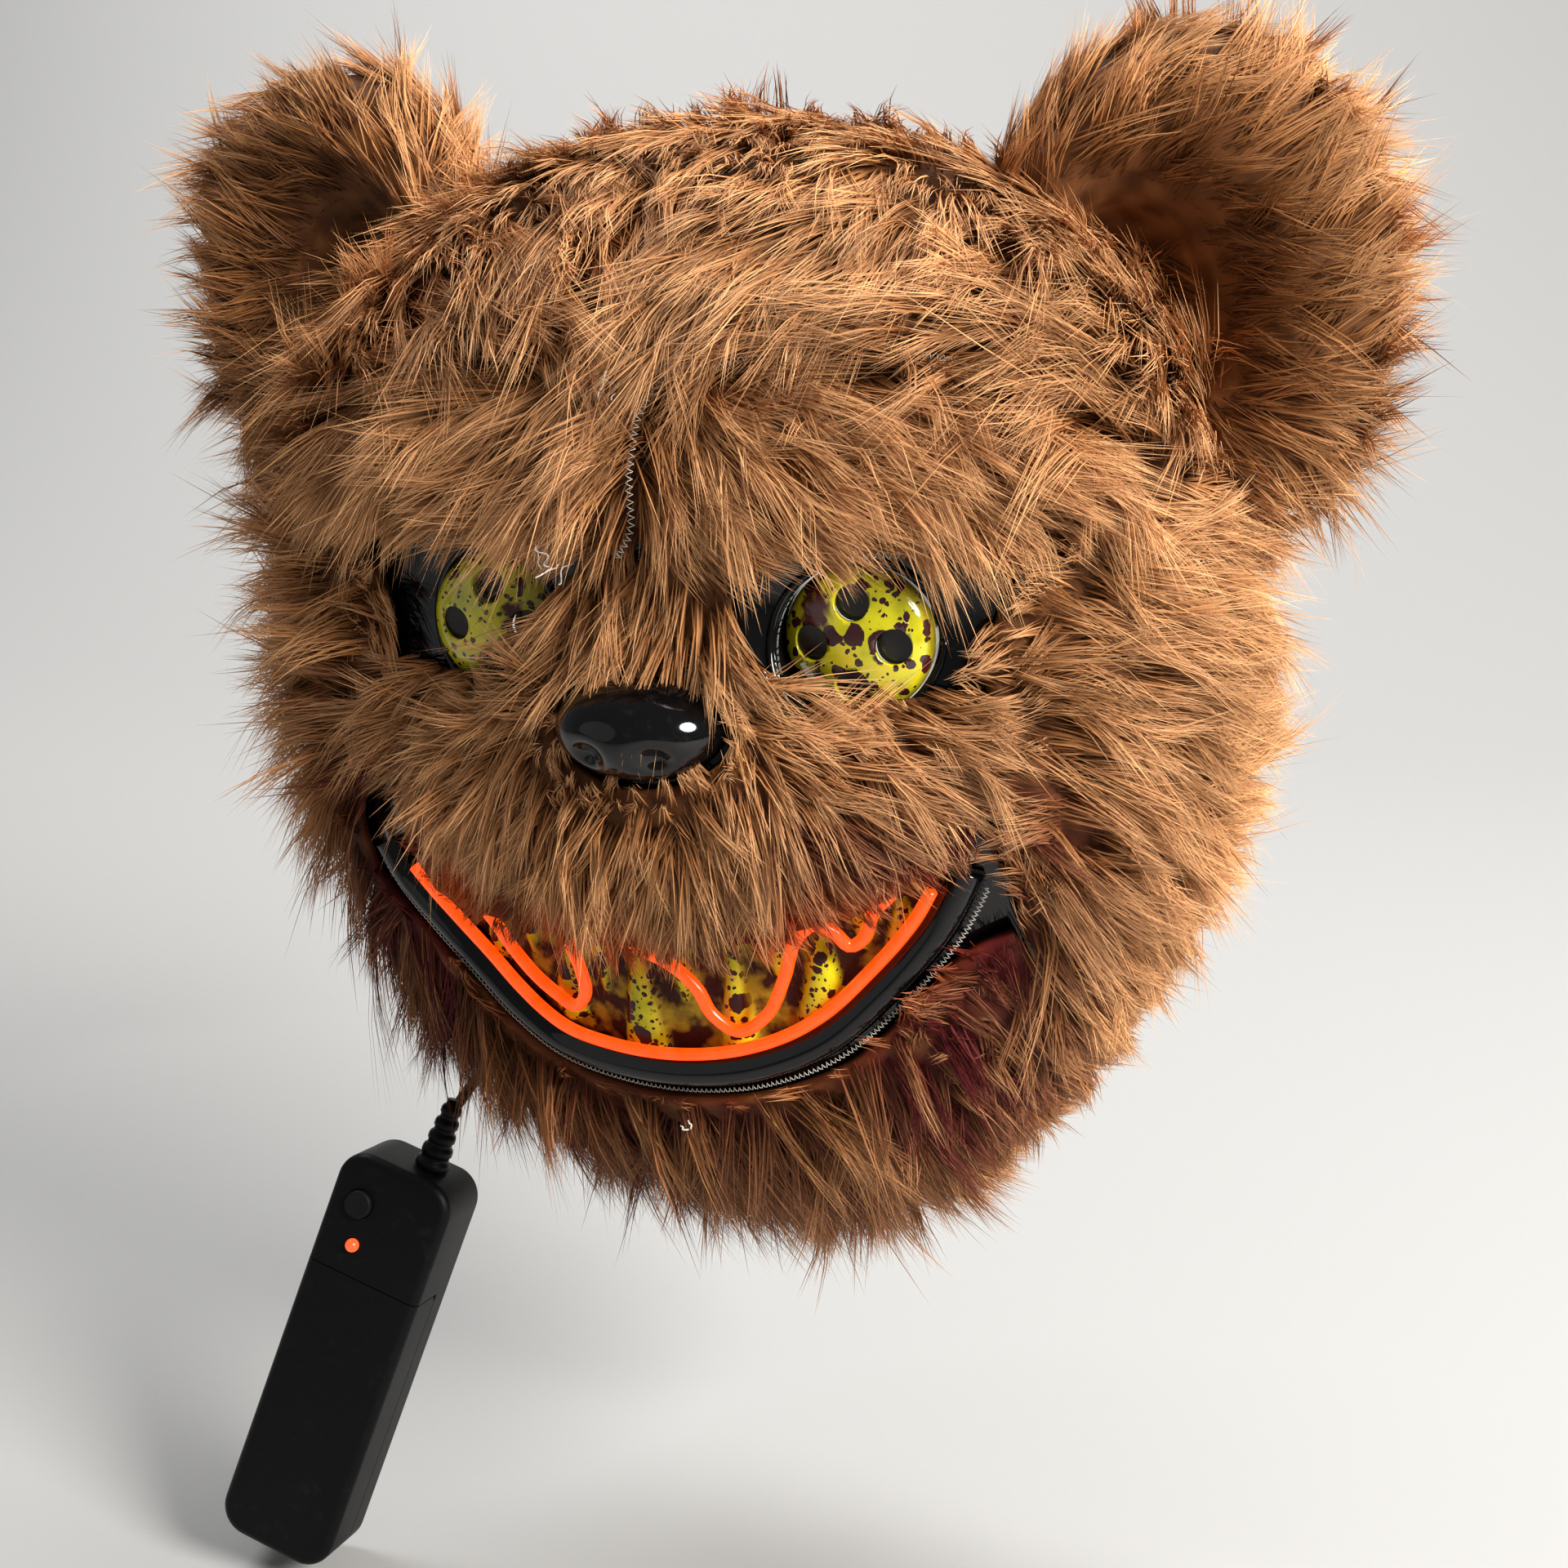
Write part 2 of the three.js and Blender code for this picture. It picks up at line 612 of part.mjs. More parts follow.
function fang({ u, foot, tip, girth }) {
  const base = lifted(chart(u, foot), -shellWall - clearance);
  const point = lifted(chart(u, tip), -shellWall - clearance);
  const length = base.distanceTo(point);
  const cone = new THREE.ConeGeometry(fangRadius * girth, length, 6);
  cone.scale(1, 1, fangFlatness);
  cone.translate(0, length / 2, 0);
  const up = point.clone().sub(base).normalize();
  const forward = faceNormal(chart(u, (foot + tip) / 2));
  const right = new THREE.Vector3().crossVectors(up, forward).normalize();
  forward.crossVectors(right, up);
  cone.applyMatrix4(new THREE.Matrix4().makeBasis(right, up, forward).setPosition(base));
  return toSolid(cone);
}

function teethPlate() {
  const columns = 14;
  const lower = lipLine(lipWidth - plateMargin);
  const upper = new THREE.SplineCurve(edges.mouthTop.map(([u, w]) => new THREE.Vector2(shareX(u), shareZ(w))));
  const layer = (lift) => {
    const rows = 3;
    const grid = [];
    for (let i = 0; i <= rows; i += 1) {
      grid.push(Array.from({ length: columns + 1 }, (_, j) => {
        const top = upper.getPoint(j / columns).add(new THREE.Vector2(0, plateMargin));
        const point = top.lerp(lower(j / columns), i / rows);
        return lifted(spotAt(point.x, point.y), lift);
      }));
    }
    return grid;
  };
  const front = -shellWall - clearance - 0.5;
  let solid = toSolid(sheet(layer(front), layer(front - plateWall)));
  for (const tooth of fangs) solid = solid.add(fang(tooth));
  for (const wire of [wireLine, wireFangs]) solid = solid.subtract(toSolid(wire(wireRadius + clearance)));
  return toGeometry(solid.subtract(shellBand()));
}

// The shell's wall with a clearance on its inner side and all that lies over it, apart from the mouth
function shellBand() {
  const outer = faceGrid(shellRings, shellSpokes, pileLength);
  const inner = faceGrid(shellRings, shellSpokes, -shellWall - clearance);
  let solid = toSolid(sheet(outer, inner, true));
  const shape = mouthOutline();
  const shrunk = new THREE.Shape(shape.getPoints().map((point, i, all) => {
    const middle = all.reduce((sum, p) => sum.add(p), new THREE.Vector2()).divideScalar(all.length);
    return point.clone().sub(middle).multiplyScalar(1 - clearance / (lipWidth * 2)).add(middle);
  }));
  solid = solid.subtract(throughCut(shrunk));
  return solid;
}

function tube(points, radius, steps, sides) {
  const path = new THREE.CatmullRomCurve3(points, false, 'centripetal');
  const section = new THREE.Shape();
  section.absarc(0, 0, radius, 0, 2 * Math.PI);
  return new THREE.ExtrudeGeometry(section, {
    steps,
    extrudePath: path,
    curveSegments: sides / 2,
    bevelEnabled: false,
  });
}

function wireLine(radius) {
  const line = lipLine(lipWidth + clearance + wireRadius);
  const points = [];
  for (let i = 0; i <= 16; i += 1) {
    const point = line(0.07 + 0.86 * i / 16);
    points.push(lifted(spotAt(point.x, point.y), lineLift));
  }
  return tube(points, radius, 26, 6);
}

function wireFangs(radius) {
  return tube(wireLoops.map(([u, w]) => lifted(chart(u, w), loopLift)), radius, 42, 6);
}

// The head's fur, which the ears are cut to
const headEnvelope = faceEnvelope(backingLift + pileLength + clearance, 14, 44);

// An ear: rings of points from its back, over the rim and down into the cup, then cut to the head's fur
function ear(side) {
  const locks = 15;
  const columns = 2 * locks;
  const rings = earProfile.map((station, i) => Array.from({ length: columns }, (_, j) => {
    const turn = 2 * Math.PI * j / columns;
    const crest = (i + j) % 2 === 0 ? 1 : -1;
    const spread = station.radius * (1 + 0.05 * station.tuft * (crest + 0.5 * vary(i, j)));
    const slide = i > earProfile.length / 2 ? earCupShift * (1 - station.radius) : 0;
    return new THREE.Vector3(
      side * earHalfWidth * (spread * Math.cos(turn) + slide),
      earDepth * station.depth,
      earHalfHeight * spread * Math.sin(turn),
    );
  }));
  const half = Math.floor(rings.length / 2);
  const back = rings.slice(0, half + 1);
  const front = rings.slice(half).reverse();
  const geometry = sheet(back, front, true);
  geometry.rotateZ(side * THREE.MathUtils.degToRad(8));
  geometry.translate(side * earAcross - shellLean, -earBack, earAbove);
  return toGeometry(toSolid(geometry).subtract(headEnvelope));
}

// The elastic follows the inside of the shell at the rim and goes once round the back of the head
function headStrap() {
  const tilt = Math.acos((strapLap / shellDepth) ** (shellFlatness / 2));
  const right = lifted(new THREE.Vector2(tilt, 0), -shellWall).x;
  const left = lifted(new THREE.Vector2(-tilt, 0), -shellWall).x;
  const middle = (left + right) / 2;
  const half = (right - left) / 2;
  const back = headLength - shellDepth;
  const steps = 24;
  const outline = (shrink) => {
    const points = [new THREE.Vector2(middle + half - shrink, -strapLap)];
    for (let i = 0; i <= steps; i += 1) {
      const angle = Math.PI * i / steps;
      const x = middle + (half - shrink) * Math.cos(angle);
      points.push(new THREE.Vector2(x, (back - shrink) * Math.sin(angle)));
    }
    points.push(new THREE.Vector2(middle - half + shrink, -strapLap));
    return points;
  };
  const shape = new THREE.Shape([...outline(0), ...outline(strapWall).reverse()]);
  const geometry = new THREE.ExtrudeGeometry(shape, { depth: strapWidth, bevelEnabled: false });
  geometry.translate(0, 0, -eyeLevel - strapWidth / 2);
  return toGeometry(toSolid(geometry).subtract(shellBand()));
}

function roundedBlock() {
  const width = packWidth - 2 * packEdge;
  const length = packLength - 2 * packEdge;
  const radius = packCorner - packEdge;
  const shape = new THREE.Shape();
  const x = width / 2;
  const z = length / 2;
  shape.moveTo(-x + radius, -z);
  shape.lineTo(x - radius, -z);
  shape.absarc(x - radius, -z + radius, radius, -Math.PI / 2, 0);
  shape.lineTo(x, z - radius);
  shape.absarc(x - radius, z - radius, radius, 0, Math.PI / 2);
  shape.lineTo(-x + radius, z);
  shape.absarc(-x + radius, z - radius, radius, Math.PI / 2, Math.PI);
  shape.lineTo(-x, -z + radius);
  shape.absarc(-x + radius, -z + radius, radius, Math.PI, 1.5 * Math.PI);
  const depth = packThickness - 2 * packEdge;
  const geometry = new THREE.ExtrudeGeometry(shape, {
    depth,
    bevelThickness: packEdge,
    bevelSize: packEdge,
    bevelSegments: 2,
    curveSegments: 3,
  });
  geometry.rotateX(Math.PI / 2);
  geometry.translate(0, depth / 2, 0);
  return toSolid(geometry);
}

function boxAt(sizeX, sizeY, sizeZ, x, y, z) {
  const box = new THREE.BoxGeometry(sizeX, sizeY, sizeZ);
  box.translate(x, y, z);
  return toSolid(box);
}

function cylinderY(radius, length, x, y, z, sides) {
  const cylinder = new THREE.CylinderGeometry(radius, radius, length, sides);
  cylinder.translate(x, y, z);
  return cylinder;
}

// The pack in its own frame: X across, -Y the front with the button, +Z up to the lead
function batteryPack() {
  const pack = new THREE.Group();
  const front = -packThickness / 2;
  const coverDepth = packThickness * coverShare;
  const coverTop = -packLength / 2 + coverLength;
  const parting = front + coverDepth;
  const bayHalf = 2 * cellRadius + clearance;
  const bayDepth = 2 * (cellRadius + clearance);
  const bayLength = cellLength + 2 * clearance;
  const bayMiddle = coverTop - bayLength / 2 - bayDrop;
  const bay = boxAt(2 * bayHalf, bayDepth, bayLength, 0, 0, bayMiddle);
  const reach = 2 * packLength;
  const coverSpace = boxAt(reach, reach, reach, 0, parting - reach / 2, coverTop - reach / 2);
  const coverBody = boxAt(reach, reach, reach, 0, parting - clearance - reach / 2, coverTop - clearance - reach / 2);
  const buttonX = -0.23 * packWidth;
  const buttonZ = packLength / 2 - 13;
  const lightX = -0.17 * packWidth;
  const lightZ = packLength / 2 - 24;
  const sunk = 2;
  const buttonWell = toSolid(cylinderY(buttonRadius + clearance, 2 * sunk, buttonX, front, buttonZ, 20));
  const lightWell = toSolid(cylinderY(lightRadius + clearance, 2 * sunk, lightX, front, lightZ, 12));
  const notch = boxAt(2, 3, 3, packWidth / 2, parting, coverTop);
  const housing = roundedBlock().subtract(coverSpace).subtract(bay).subtract(buttonWell).subtract(lightWell);
  const bayFoot = bayMiddle - bayLength / 2;
  const bayAndMouth = boxAt(2 * bayHalf, bayDepth, 2 * bayLength, 0, 0, bayFoot + bayLength);
  const cover = roundedBlock().intersect(coverBody).subtract(bayAndMouth).subtract(notch);
  pack.add(piece('pack_housing', toGeometry(housing), colours.packBlack, 0.45));
  pack.add(piece('battery_cover', toGeometry(cover), colours.packBlack, 0.5));
  for (const [name, side] of [['battery_cell_left', -1], ['battery_cell_right', 1]]) {
    const cell = new THREE.CylinderGeometry(cellRadius - clearance / 2, cellRadius - clearance / 2, cellLength, 16);
    cell.rotateX(Math.PI / 2);
    cell.translate(side * cellRadius, 0, bayMiddle);
    pack.add(piece(name, cell, colours.steel, 0.35, 0.8));
  }
  const buttonTravel = 1.2;
  const buttonLength = sunk + 1.5 - clearance - buttonTravel;
  const buttonY = front - 1.5 + buttonLength / 2;
  pack.add(piece('power_button', cylinderY(buttonRadius, buttonLength, buttonX, buttonY, buttonZ, 20),
    colours.blackPlastic, 0.5));
  const lamp = new THREE.SphereGeometry(lightRadius, 10, 6);
  lamp.translate(lightX, front + sunk - lightRadius - clearance, lightZ);
  pack.add(piece('indicator_light', lamp, colours.lamp, 0.3));
  pack.add(piece('strain_relief', strainRelief(), colours.blackPlastic, 0.6));
  pack.rotation.set(THREE.MathUtils.degToRad(-17.2), THREE.MathUtils.degToRad(17.6), 0, 'YXZ');
  pack.position.set(-107.4, -66.5, -205.6);
  return pack;
}

// A ribbed cone on top of the pack
function strainRelief() {
  const ribs = 5;
  const start = packLength / 2 + clearance;
  const profile = [new THREE.Vector2(0, start)];
  for (let i = 0; i < ribs; i += 1) {
    const radius = THREE.MathUtils.lerp(4.6, 2.8, i / (ribs - 1));
    const low = start + reliefLength * i / ribs;
    const pitch = reliefLength / ribs;
    profile.push(new THREE.Vector2(radius, low), new THREE.Vector2(radius, low + 0.55 * pitch));
    profile.push(new THREE.Vector2(radius - 0.8, low + 0.6 * pitch), new THREE.Vector2(radius - 0.8, low + pitch));
  }
  profile.push(new THREE.Vector2(0, start + reliefLength));
  const lathe = new THREE.LatheGeometry(profile, 8);
  lathe.rotateX(Math.PI / 2);
  lathe.translate(4, 0, 0);
  return toGeometry(toSolid(lathe));
}

// A point on the inner side of the shell at the gland, some way in from the shell
function glandPoint(inward) {
  return lifted(spotAt(glandAcross, glandHeight), -shellWall - clearance - inward);
}

function lead() {
  const start = [glandPoint(glandLength + clearance), glandPoint(2 * glandLength)];
  const route = leadRoute.map((point) => new THREE.Vector3(...point));
  return tube([...start, ...route], leadRadius, 17, 8);
}

// The gland inside the jaw, square to the shell, that the lead comes out of
function leadGland() {
  const outward = faceNormal(spotAt(glandAcross, glandHeight));
  const gland = new THREE.CylinderGeometry(glandRadius, glandRadius, glandLength, 16);
  gland.applyQuaternion(new THREE.Quaternion().setFromUnitVectors(new THREE.Vector3(0, 1, 0), outward));
  const centre = glandPoint(glandLength / 2);
  gland.translate(centre.x, centre.y, centre.z);
  return toGeometry(toSolid(gland).subtract(shellBand()));
}

const mask = new THREE.Group();
mask.add(piece('mask_shell', maskShell(), colours.blackPlastic, 0.2));
mask.add(piece('crown_plush', plushPatch(edges.crownTop, edges.crownFoot, 5, 13), colours.fur, 0.9));
for (const [name, side] of [['left', -1], ['right', 1]]) {
  const turned = (stations) => (side < 0 ? mirrored(stations) : stations);
  const [front, back] = side < 0
    ? [edges.cheekFrontLeft, edges.cheekBackLeft]
    : [edges.cheekFrontRight, edges.cheekBackRight];
  mask.add(piece(`brow_plush_${name}`, plushPatch(turned(edges.browTop), turned(edges.browHem), 3, 7, hemOverhang),
    colours.fur, 0.9));
  mask.add(piece(`cheek_plush_${name}`, plushPatch(front, back, 5, 9),
    colours.fur, 0.9));
  mask.add(piece(`ear_${name}`, ear(side), colours.innerFur, 0.9));
  const eye = piece(`eye_dome_${name}`, eyeDome(), colours.eyeYellow, 0.15);
  eye.position.set(side * eyeSpacing / 2, eyeSeat(), 0);
  mask.add(eye);
}
mask.add(piece('muzzle_plush', muzzlePlush(5, 17), colours.fur, 0.9));
mask.add(piece('chin_plush', plushPatch(edges.chinTop, edges.chinFoot, 4, 12, 0, chinDroop), colours.fur, 0.9));
mask.add(piece('nose', noseSolid(), colours.blackPlastic, 0.15));
mask.add(piece('teeth_plate', teethPlate(), colours.fangYellow, 0.35));
mask.add(piece('lip_rim', lipRim(), colours.blackPlastic, 0.15));
mask.add(piece('glow_wire_line', wireLine(wireRadius), colours.glow, 0.4));
mask.add(piece('glow_wire_fangs', wireFangs(wireRadius), colours.glow, 0.4));
mask.add(piece('head_strap', headStrap(), colours.elastic, 0.85));
mask.add(batteryPack());
mask.add(piece('lead', lead(), colours.blackPlastic, 0.5));
mask.add(piece('lead_gland', leadGland(), colours.blackPlastic, 0.5));

const seat = lifted(spotAt(0, 0), -shellWall);
mask.position.set(0, -seat.y, -seat.z);

export default mask;
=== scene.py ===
# Plush bear mask: the dressed model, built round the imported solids. Lengths here are millimetres unless a
# name says otherwise, and places are in the face's own frame: X right, Z up from the eyes, -Y forward.
import math

import bmesh
import bpy
import numpy as np
from mathutils import Matrix, Vector


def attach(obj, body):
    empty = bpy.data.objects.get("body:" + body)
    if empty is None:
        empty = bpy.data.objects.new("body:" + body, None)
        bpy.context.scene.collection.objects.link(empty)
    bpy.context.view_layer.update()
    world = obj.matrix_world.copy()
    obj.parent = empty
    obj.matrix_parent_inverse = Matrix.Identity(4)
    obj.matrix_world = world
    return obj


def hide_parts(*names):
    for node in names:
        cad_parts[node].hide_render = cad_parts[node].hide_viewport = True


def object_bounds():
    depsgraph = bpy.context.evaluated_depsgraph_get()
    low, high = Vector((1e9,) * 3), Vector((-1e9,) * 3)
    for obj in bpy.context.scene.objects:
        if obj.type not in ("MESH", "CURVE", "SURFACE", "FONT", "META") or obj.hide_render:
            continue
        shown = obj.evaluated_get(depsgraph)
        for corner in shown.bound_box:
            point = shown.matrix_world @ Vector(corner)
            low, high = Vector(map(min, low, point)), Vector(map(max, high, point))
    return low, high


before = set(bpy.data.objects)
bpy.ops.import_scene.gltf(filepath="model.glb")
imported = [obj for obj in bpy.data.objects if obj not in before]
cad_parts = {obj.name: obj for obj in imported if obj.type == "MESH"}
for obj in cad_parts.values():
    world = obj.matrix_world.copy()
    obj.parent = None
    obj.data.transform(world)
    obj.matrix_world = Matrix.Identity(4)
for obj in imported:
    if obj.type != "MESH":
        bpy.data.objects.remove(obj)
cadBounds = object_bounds()
print("frame loaded")

mm = 0.001

# The face's form, as in the solids
face = {
    "halfWidth": 113.0, "lean": 4.0, "rise": 116.0, "drop": 126.0, "depth": 73.5, "wall": 1.8,
    "flatness": 3.1, "squareness": 2.2, "rim": math.radians(89), "eyeLevel": 17.0,
}
forms = [
    (0, 0.43, 0.55, 0.2, 0.16), (0, -0.08, 0.42, 0.27, 0.31), (0, -0.68, 0.48, 0.24, 0.12),
    (-0.37, 0.15, 0.19, 0.18, -0.06), (0.37, 0.15, 0.19, 0.18, -0.06),
]
plush = {"pile": 10.5, "backing": 1.2, "seam": 1.5, "muzzleRaise": 5.5, "chinDroop": 19.0}
edges = {
    "browTop": [[0, 0.581], [0.193, 0.619], [0.405, 0.638], [0.598, 0.572], [0.82, 0.45]],
    "browHem": [[0, 0.319], [0.174, 0.323], [0.376, 0.323], [0.579, 0.314], [0.762, 0.347]],
    "crownTop": [[-1, 0.412], [-0.93, 0.675], [-0.617, 0.98], [0, 1.1], [0.617, 0.98], [0.93, 0.675], [1, 0.412]],
    "crownFoot": [[-0.82, 0.45], [-0.598, 0.572], [-0.405, 0.638], [-0.193, 0.619], [0, 0.581], [0.193, 0.619],
                  [0.405, 0.638], [0.598, 0.572], [0.82, 0.45]],
    "cheekFrontLeft": [[-0.82, 0.43], [-0.78, 0.33], [-0.65, 0.25], [-0.6, 0.12], [-0.615, 0.03], [-0.66, -0.09],
                       [-0.72, -0.2], [-0.78, -0.3], [-0.77, -0.4]],
    "cheekFrontRight": [[0.82, 0.43], [0.78, 0.33], [0.65, 0.25], [0.6, 0.12], [0.605, 0.03], [0.615, -0.1],
                        [0.62, -0.2], [0.65, -0.28], [0.66, -0.36]],
    "cheekBackLeft": [[-1, 0.394], [-1, 0.253], [-1, 0.112], [-1, -0.12], [-1, -0.34], [-0.93, -0.58],
                      [-0.84, -0.76]],
    "cheekBackRight": [[1, 0.394], [1, 0.253], [1, 0.112], [1, -0.12], [1, -0.34], [0.93, -0.58],
                       [0.84, -0.76]],
    "lipFoot": [[-0.733, -0.35], [-0.685, -0.42], [-0.598, -0.495], [-0.506, -0.57], [-0.415, -0.647],
                [-0.309, -0.705], [-0.164, -0.724], [0, -0.719], [0.159, -0.687], [0.311, -0.619], [0.437, -0.509],
                [0.531, -0.405], [0.579, -0.33], [0.608, -0.27]],
    "mouthTop": [[-0.685, -0.3], [-0.598, -0.33], [-0.482, -0.355], [-0.347, -0.37], [-0.193, -0.375], [0, -0.36],
                 [0.193, -0.33], [0.338, -0.29], [0.463, -0.25], [0.559, -0.22]],
    "chinTop": [[-0.77, -0.41], [-0.704, -0.45], [-0.608, -0.515], [-0.511, -0.595], [-0.415, -0.67],
                [-0.299, -0.727], [-0.154, -0.745], [0, -0.74], [0.164, -0.707], [0.323, -0.635], [0.453, -0.52],
                [0.55, -0.415], [0.646, -0.37]],
    "chinFoot": [[-0.84, -0.76], [-0.656, -0.86], [-0.463, -0.96], [-0.232, -1.05], [0, -1.1], [0.232, -1.05],
                 [0.463, -0.96], [0.656, -0.86], [0.84, -0.76]],
}
muzzleEdge = [
    (0, 0.3, 0), (0.125, 0.27, 0), (0.165, 0.13, 0), (0.24, 0.01, 0), (0.36, -0.035, 0), (0.46, -0.015, 0),
    (0.56, 0.05, 0), (0.59, -0.08, 0.2), (0.575, -0.2, 0.8), (0.45, -0.265, 1), (0.3, -0.32, 1), (0.1, -0.37, 1),
    (-0.135, -0.395, 1), (-0.35, -0.395, 1), (-0.52, -0.37, 0.9), (-0.6, -0.24, 0.5), (-0.6, -0.08, 0.1),
    (-0.56, 0.05, 0), (-0.46, -0.015, 0), (-0.36, -0.035, 0), (-0.24, 0.01, 0), (-0.18, 0.13, 0), (-0.14, 0.27, 0),
]
eye = {"spacing": 83.0, "radius": 16.0, "rise": 6.5, "wall": 1.6, "skirt": 9.0, "hole": 3.8, "reach": 8.8}
nose = {"width": 37.0, "height": 22.0, "depth": 15.0, "drop": 16.0}
lip = {"width": 7.6, "height": 4.6, "gap": 0.3}


def power(value, exponent):
    return np.sign(value) * np.abs(value) ** exponent


def chart(u, w):  # shares of width and height to the angle from the nose axis, laid out flat around it
    sq, flat = face["squareness"], face["flatness"]
    across, upward = power(u, sq / 2), power(w, sq / 2)
    share = np.hypot(across, upward) ** (2 / sq)
    tilt = np.arcsin(np.minimum(math.sin(face["rim"]), share ** (flat / 2)))
    turn = np.arctan2(upward, across)
    return np.stack([tilt * np.cos(turn), tilt * np.sin(turn)], -1)


def facePoint(spot):  # a squared ellipsoid with gaussian swellings for the brow, muzzle and jaw
    tilt = np.hypot(spot[..., 0], spot[..., 1])
    turn = np.arctan2(spot[..., 1], spot[..., 0])
    spread = power(np.sin(tilt), 2 / face["flatness"])
    u = power(np.cos(turn), 2 / face["squareness"]) * spread
    w = power(np.sin(turn), 2 / face["squareness"]) * spread
    fade = np.clip(3 * np.cos(tilt), 0, 1)
    relief = sum(f * np.exp(-((u - a) / su) ** 2 - ((w - b) / sw) ** 2) for a, b, su, sw, f in forms)
    front = power(np.cos(tilt), 2 / face["flatness"]) + fade * relief
    height = np.where(w > 0, face["rise"], face["drop"])
    x = u * face["halfWidth"] - u * u * face["lean"]
    return np.stack([x, -front * face["depth"], w * height - face["eyeLevel"]], -1)


def faceNormal(spot):
    step = 0.02
    east = facePoint(spot + [step, 0]) - facePoint(spot - [step, 0])
    north = facePoint(spot + [0, step]) - facePoint(spot - [0, step])
    return unit(np.cross(east, north))


def unit(v):
    return v / np.maximum(np.linalg.norm(v, axis=-1, keepdims=True), 1e-9)


def lifted(spot, lift):
    return facePoint(spot) + faceNormal(spot) * np.asarray(lift)[..., None]


def spotAt(x, z):
    height = np.where(z + face["eyeLevel"] > 0, face["rise"], face["drop"])
    lean = face["lean"] / face["halfWidth"]
    u = (1 - np.sqrt(1 - 4 * lean * np.asarray(x) / face["halfWidth"])) / (2 * lean)
    return chart(u, (z + face["eyeLevel"]) / height)


def shareToXZ(stations):
    s = np.array(stations, float)
    x = s[:, 0] * face["halfWidth"] - s[:, 0] ** 2 * face["lean"]
    return np.stack([x, s[:, 1] * np.where(s[:, 1] > 0, face["rise"], face["drop"]) - face["eyeLevel"]], -1)


def spline(points, t, closed=False):  # uniform Catmull-Rom through the points, t from 0 to 1
    p = np.asarray(points, float)
    n = len(p)
    t = np.asarray(t, float)
    at = (t % 1) * n if closed else np.clip(t, 0, 1) * (n - 1)
    i = np.floor(at).astype(int)
    if closed:
        i0, i1, i2, i3 = (i - 1) % n, i % n, (i + 1) % n, (i + 2) % n
    else:
        i = np.minimum(i, n - 2)
        i0, i1, i2, i3 = np.maximum(i - 1, 0), i, i + 1, np.minimum(i + 2, n - 1)
    f = (at - i)[..., None]
    v0, v1 = (p[i2] - p[i0]) / 2, (p[i3] - p[i1]) / 2
    a, b = p[i1], p[i2]
    return (2 * a - 2 * b + v0 + v1) * f ** 3 + (3 * b - 3 * a - 2 * v0 - v1) * f ** 2 + v0 * f + a


seat = lifted(spotAt(0.0, 0.0), -face["wall"])
shift = np.array([0.0, -seat[1], -seat[2]])


def toFrame(points):  # face millimetres to the model's metres
    return (np.asarray(points) + shift) * mm


# Mesh helpers
def meshFrom(name, points, quads=(), tris=(), smooth=True, attributes=None, uv=None, inFrame=False):
    points = np.asarray(points, float)
    co = points if inFrame else toFrame(points)
    quads = np.asarray(quads, np.int32).reshape(-1, 4)
    tris = np.asarray(tris, np.int32).reshape(-1, 3)
    mesh = bpy.data.meshes.new(name)
    mesh.vertices.add(len(co))
    mesh.vertices.foreach_set("co", co.astype(np.float32).ravel())
    loops = np.concatenate([quads.ravel(), tris.ravel()])
    mesh.loops.add(len(loops))
    mesh.loops.foreach_set("vertex_index", loops)
    totals = np.concatenate([np.full(len(quads), 4), np.full(len(tris), 3)]).astype(np.int32)
    starts = np.concatenate([[0], np.cumsum(totals)[:-1]]).astype(np.int32)
    mesh.polygons.add(len(totals))
    mesh.polygons.foreach_set("loop_start", starts)
    mesh.polygons.foreach_set("loop_total", totals)
    mesh.polygons.foreach_set("use_smooth", np.full(len(totals), smooth))
    for key, values in (attributes or {}).items():
        layer = mesh.attributes.new(key, "FLOAT", "POINT")
        layer.data.foreach_set("value", np.asarray(values, np.float32).ravel())
    if uv is not None:
        layer = mesh.uv_layers.new(name="OFBake")
        layer.data.foreach_set("uv", np.asarray(uv, np.float32)[loops].ravel())
    mesh.update(calc_edges=True)
    mesh.validate()
    obj = bpy.data.objects.new(name, mesh)
    bpy.context.scene.collection.objects.link(obj)
    return obj


def gridFaces(rows, columns, ring=False, start=0, flip=False):
    i, j = np.meshgrid(np.arange(rows - 1), np.arange(columns if ring else columns - 1), indexing="ij")
    a = start + i * columns + j
    b = start + i * columns + (j + 1) % columns
    quad = np.stack([a, b, b + columns, a + columns], -1).reshape(-1, 4)
    return quad[:, ::-1] if flip else quad


def tidy(obj, merge=1e-6):  # doubles merged and faces turned outward
    bm = bmesh.new()
    bm.from_mesh(obj.data)
    bmesh.ops.remove_doubles(bm, verts=bm.verts, dist=merge)
    bmesh.ops.dissolve_degenerate(bm, edges=bm.edges, dist=1e-7)
    bmesh.ops.recalc_face_normals(bm, faces=bm.faces)
    bm.to_mesh(obj.data)
    bm.free()
    obj.data.update()
    return obj


def closedSheet(name, outer, inner, ring=False, **more):  # two grids of the same size, walled at their edges
    rows, columns = outer.shape[:2]
    points = np.concatenate([outer.reshape(-1, 3), inner.reshape(-1, 3)])
    half = rows * columns
    quads = [gridFaces(rows, columns, ring), gridFaces(rows, columns, ring, half, True)]
    index = np.arange(half).reshape(rows, columns)
    loops = [(index[0], ring), (index[-1][::-1], ring)]
    if not ring:
        loops += [(index[:, -1], False), (index[::-1, 0], False)]
    for edge, closed in loops:
        a = edge
        b = np.roll(edge, -1)
        if not closed:
            a, b = a[:-1], b[:-1]
        quads.append(np.stack([a, a + half, b + half, b], -1))
    return tidy(meshFrom(name, points, np.concatenate(quads), **more))


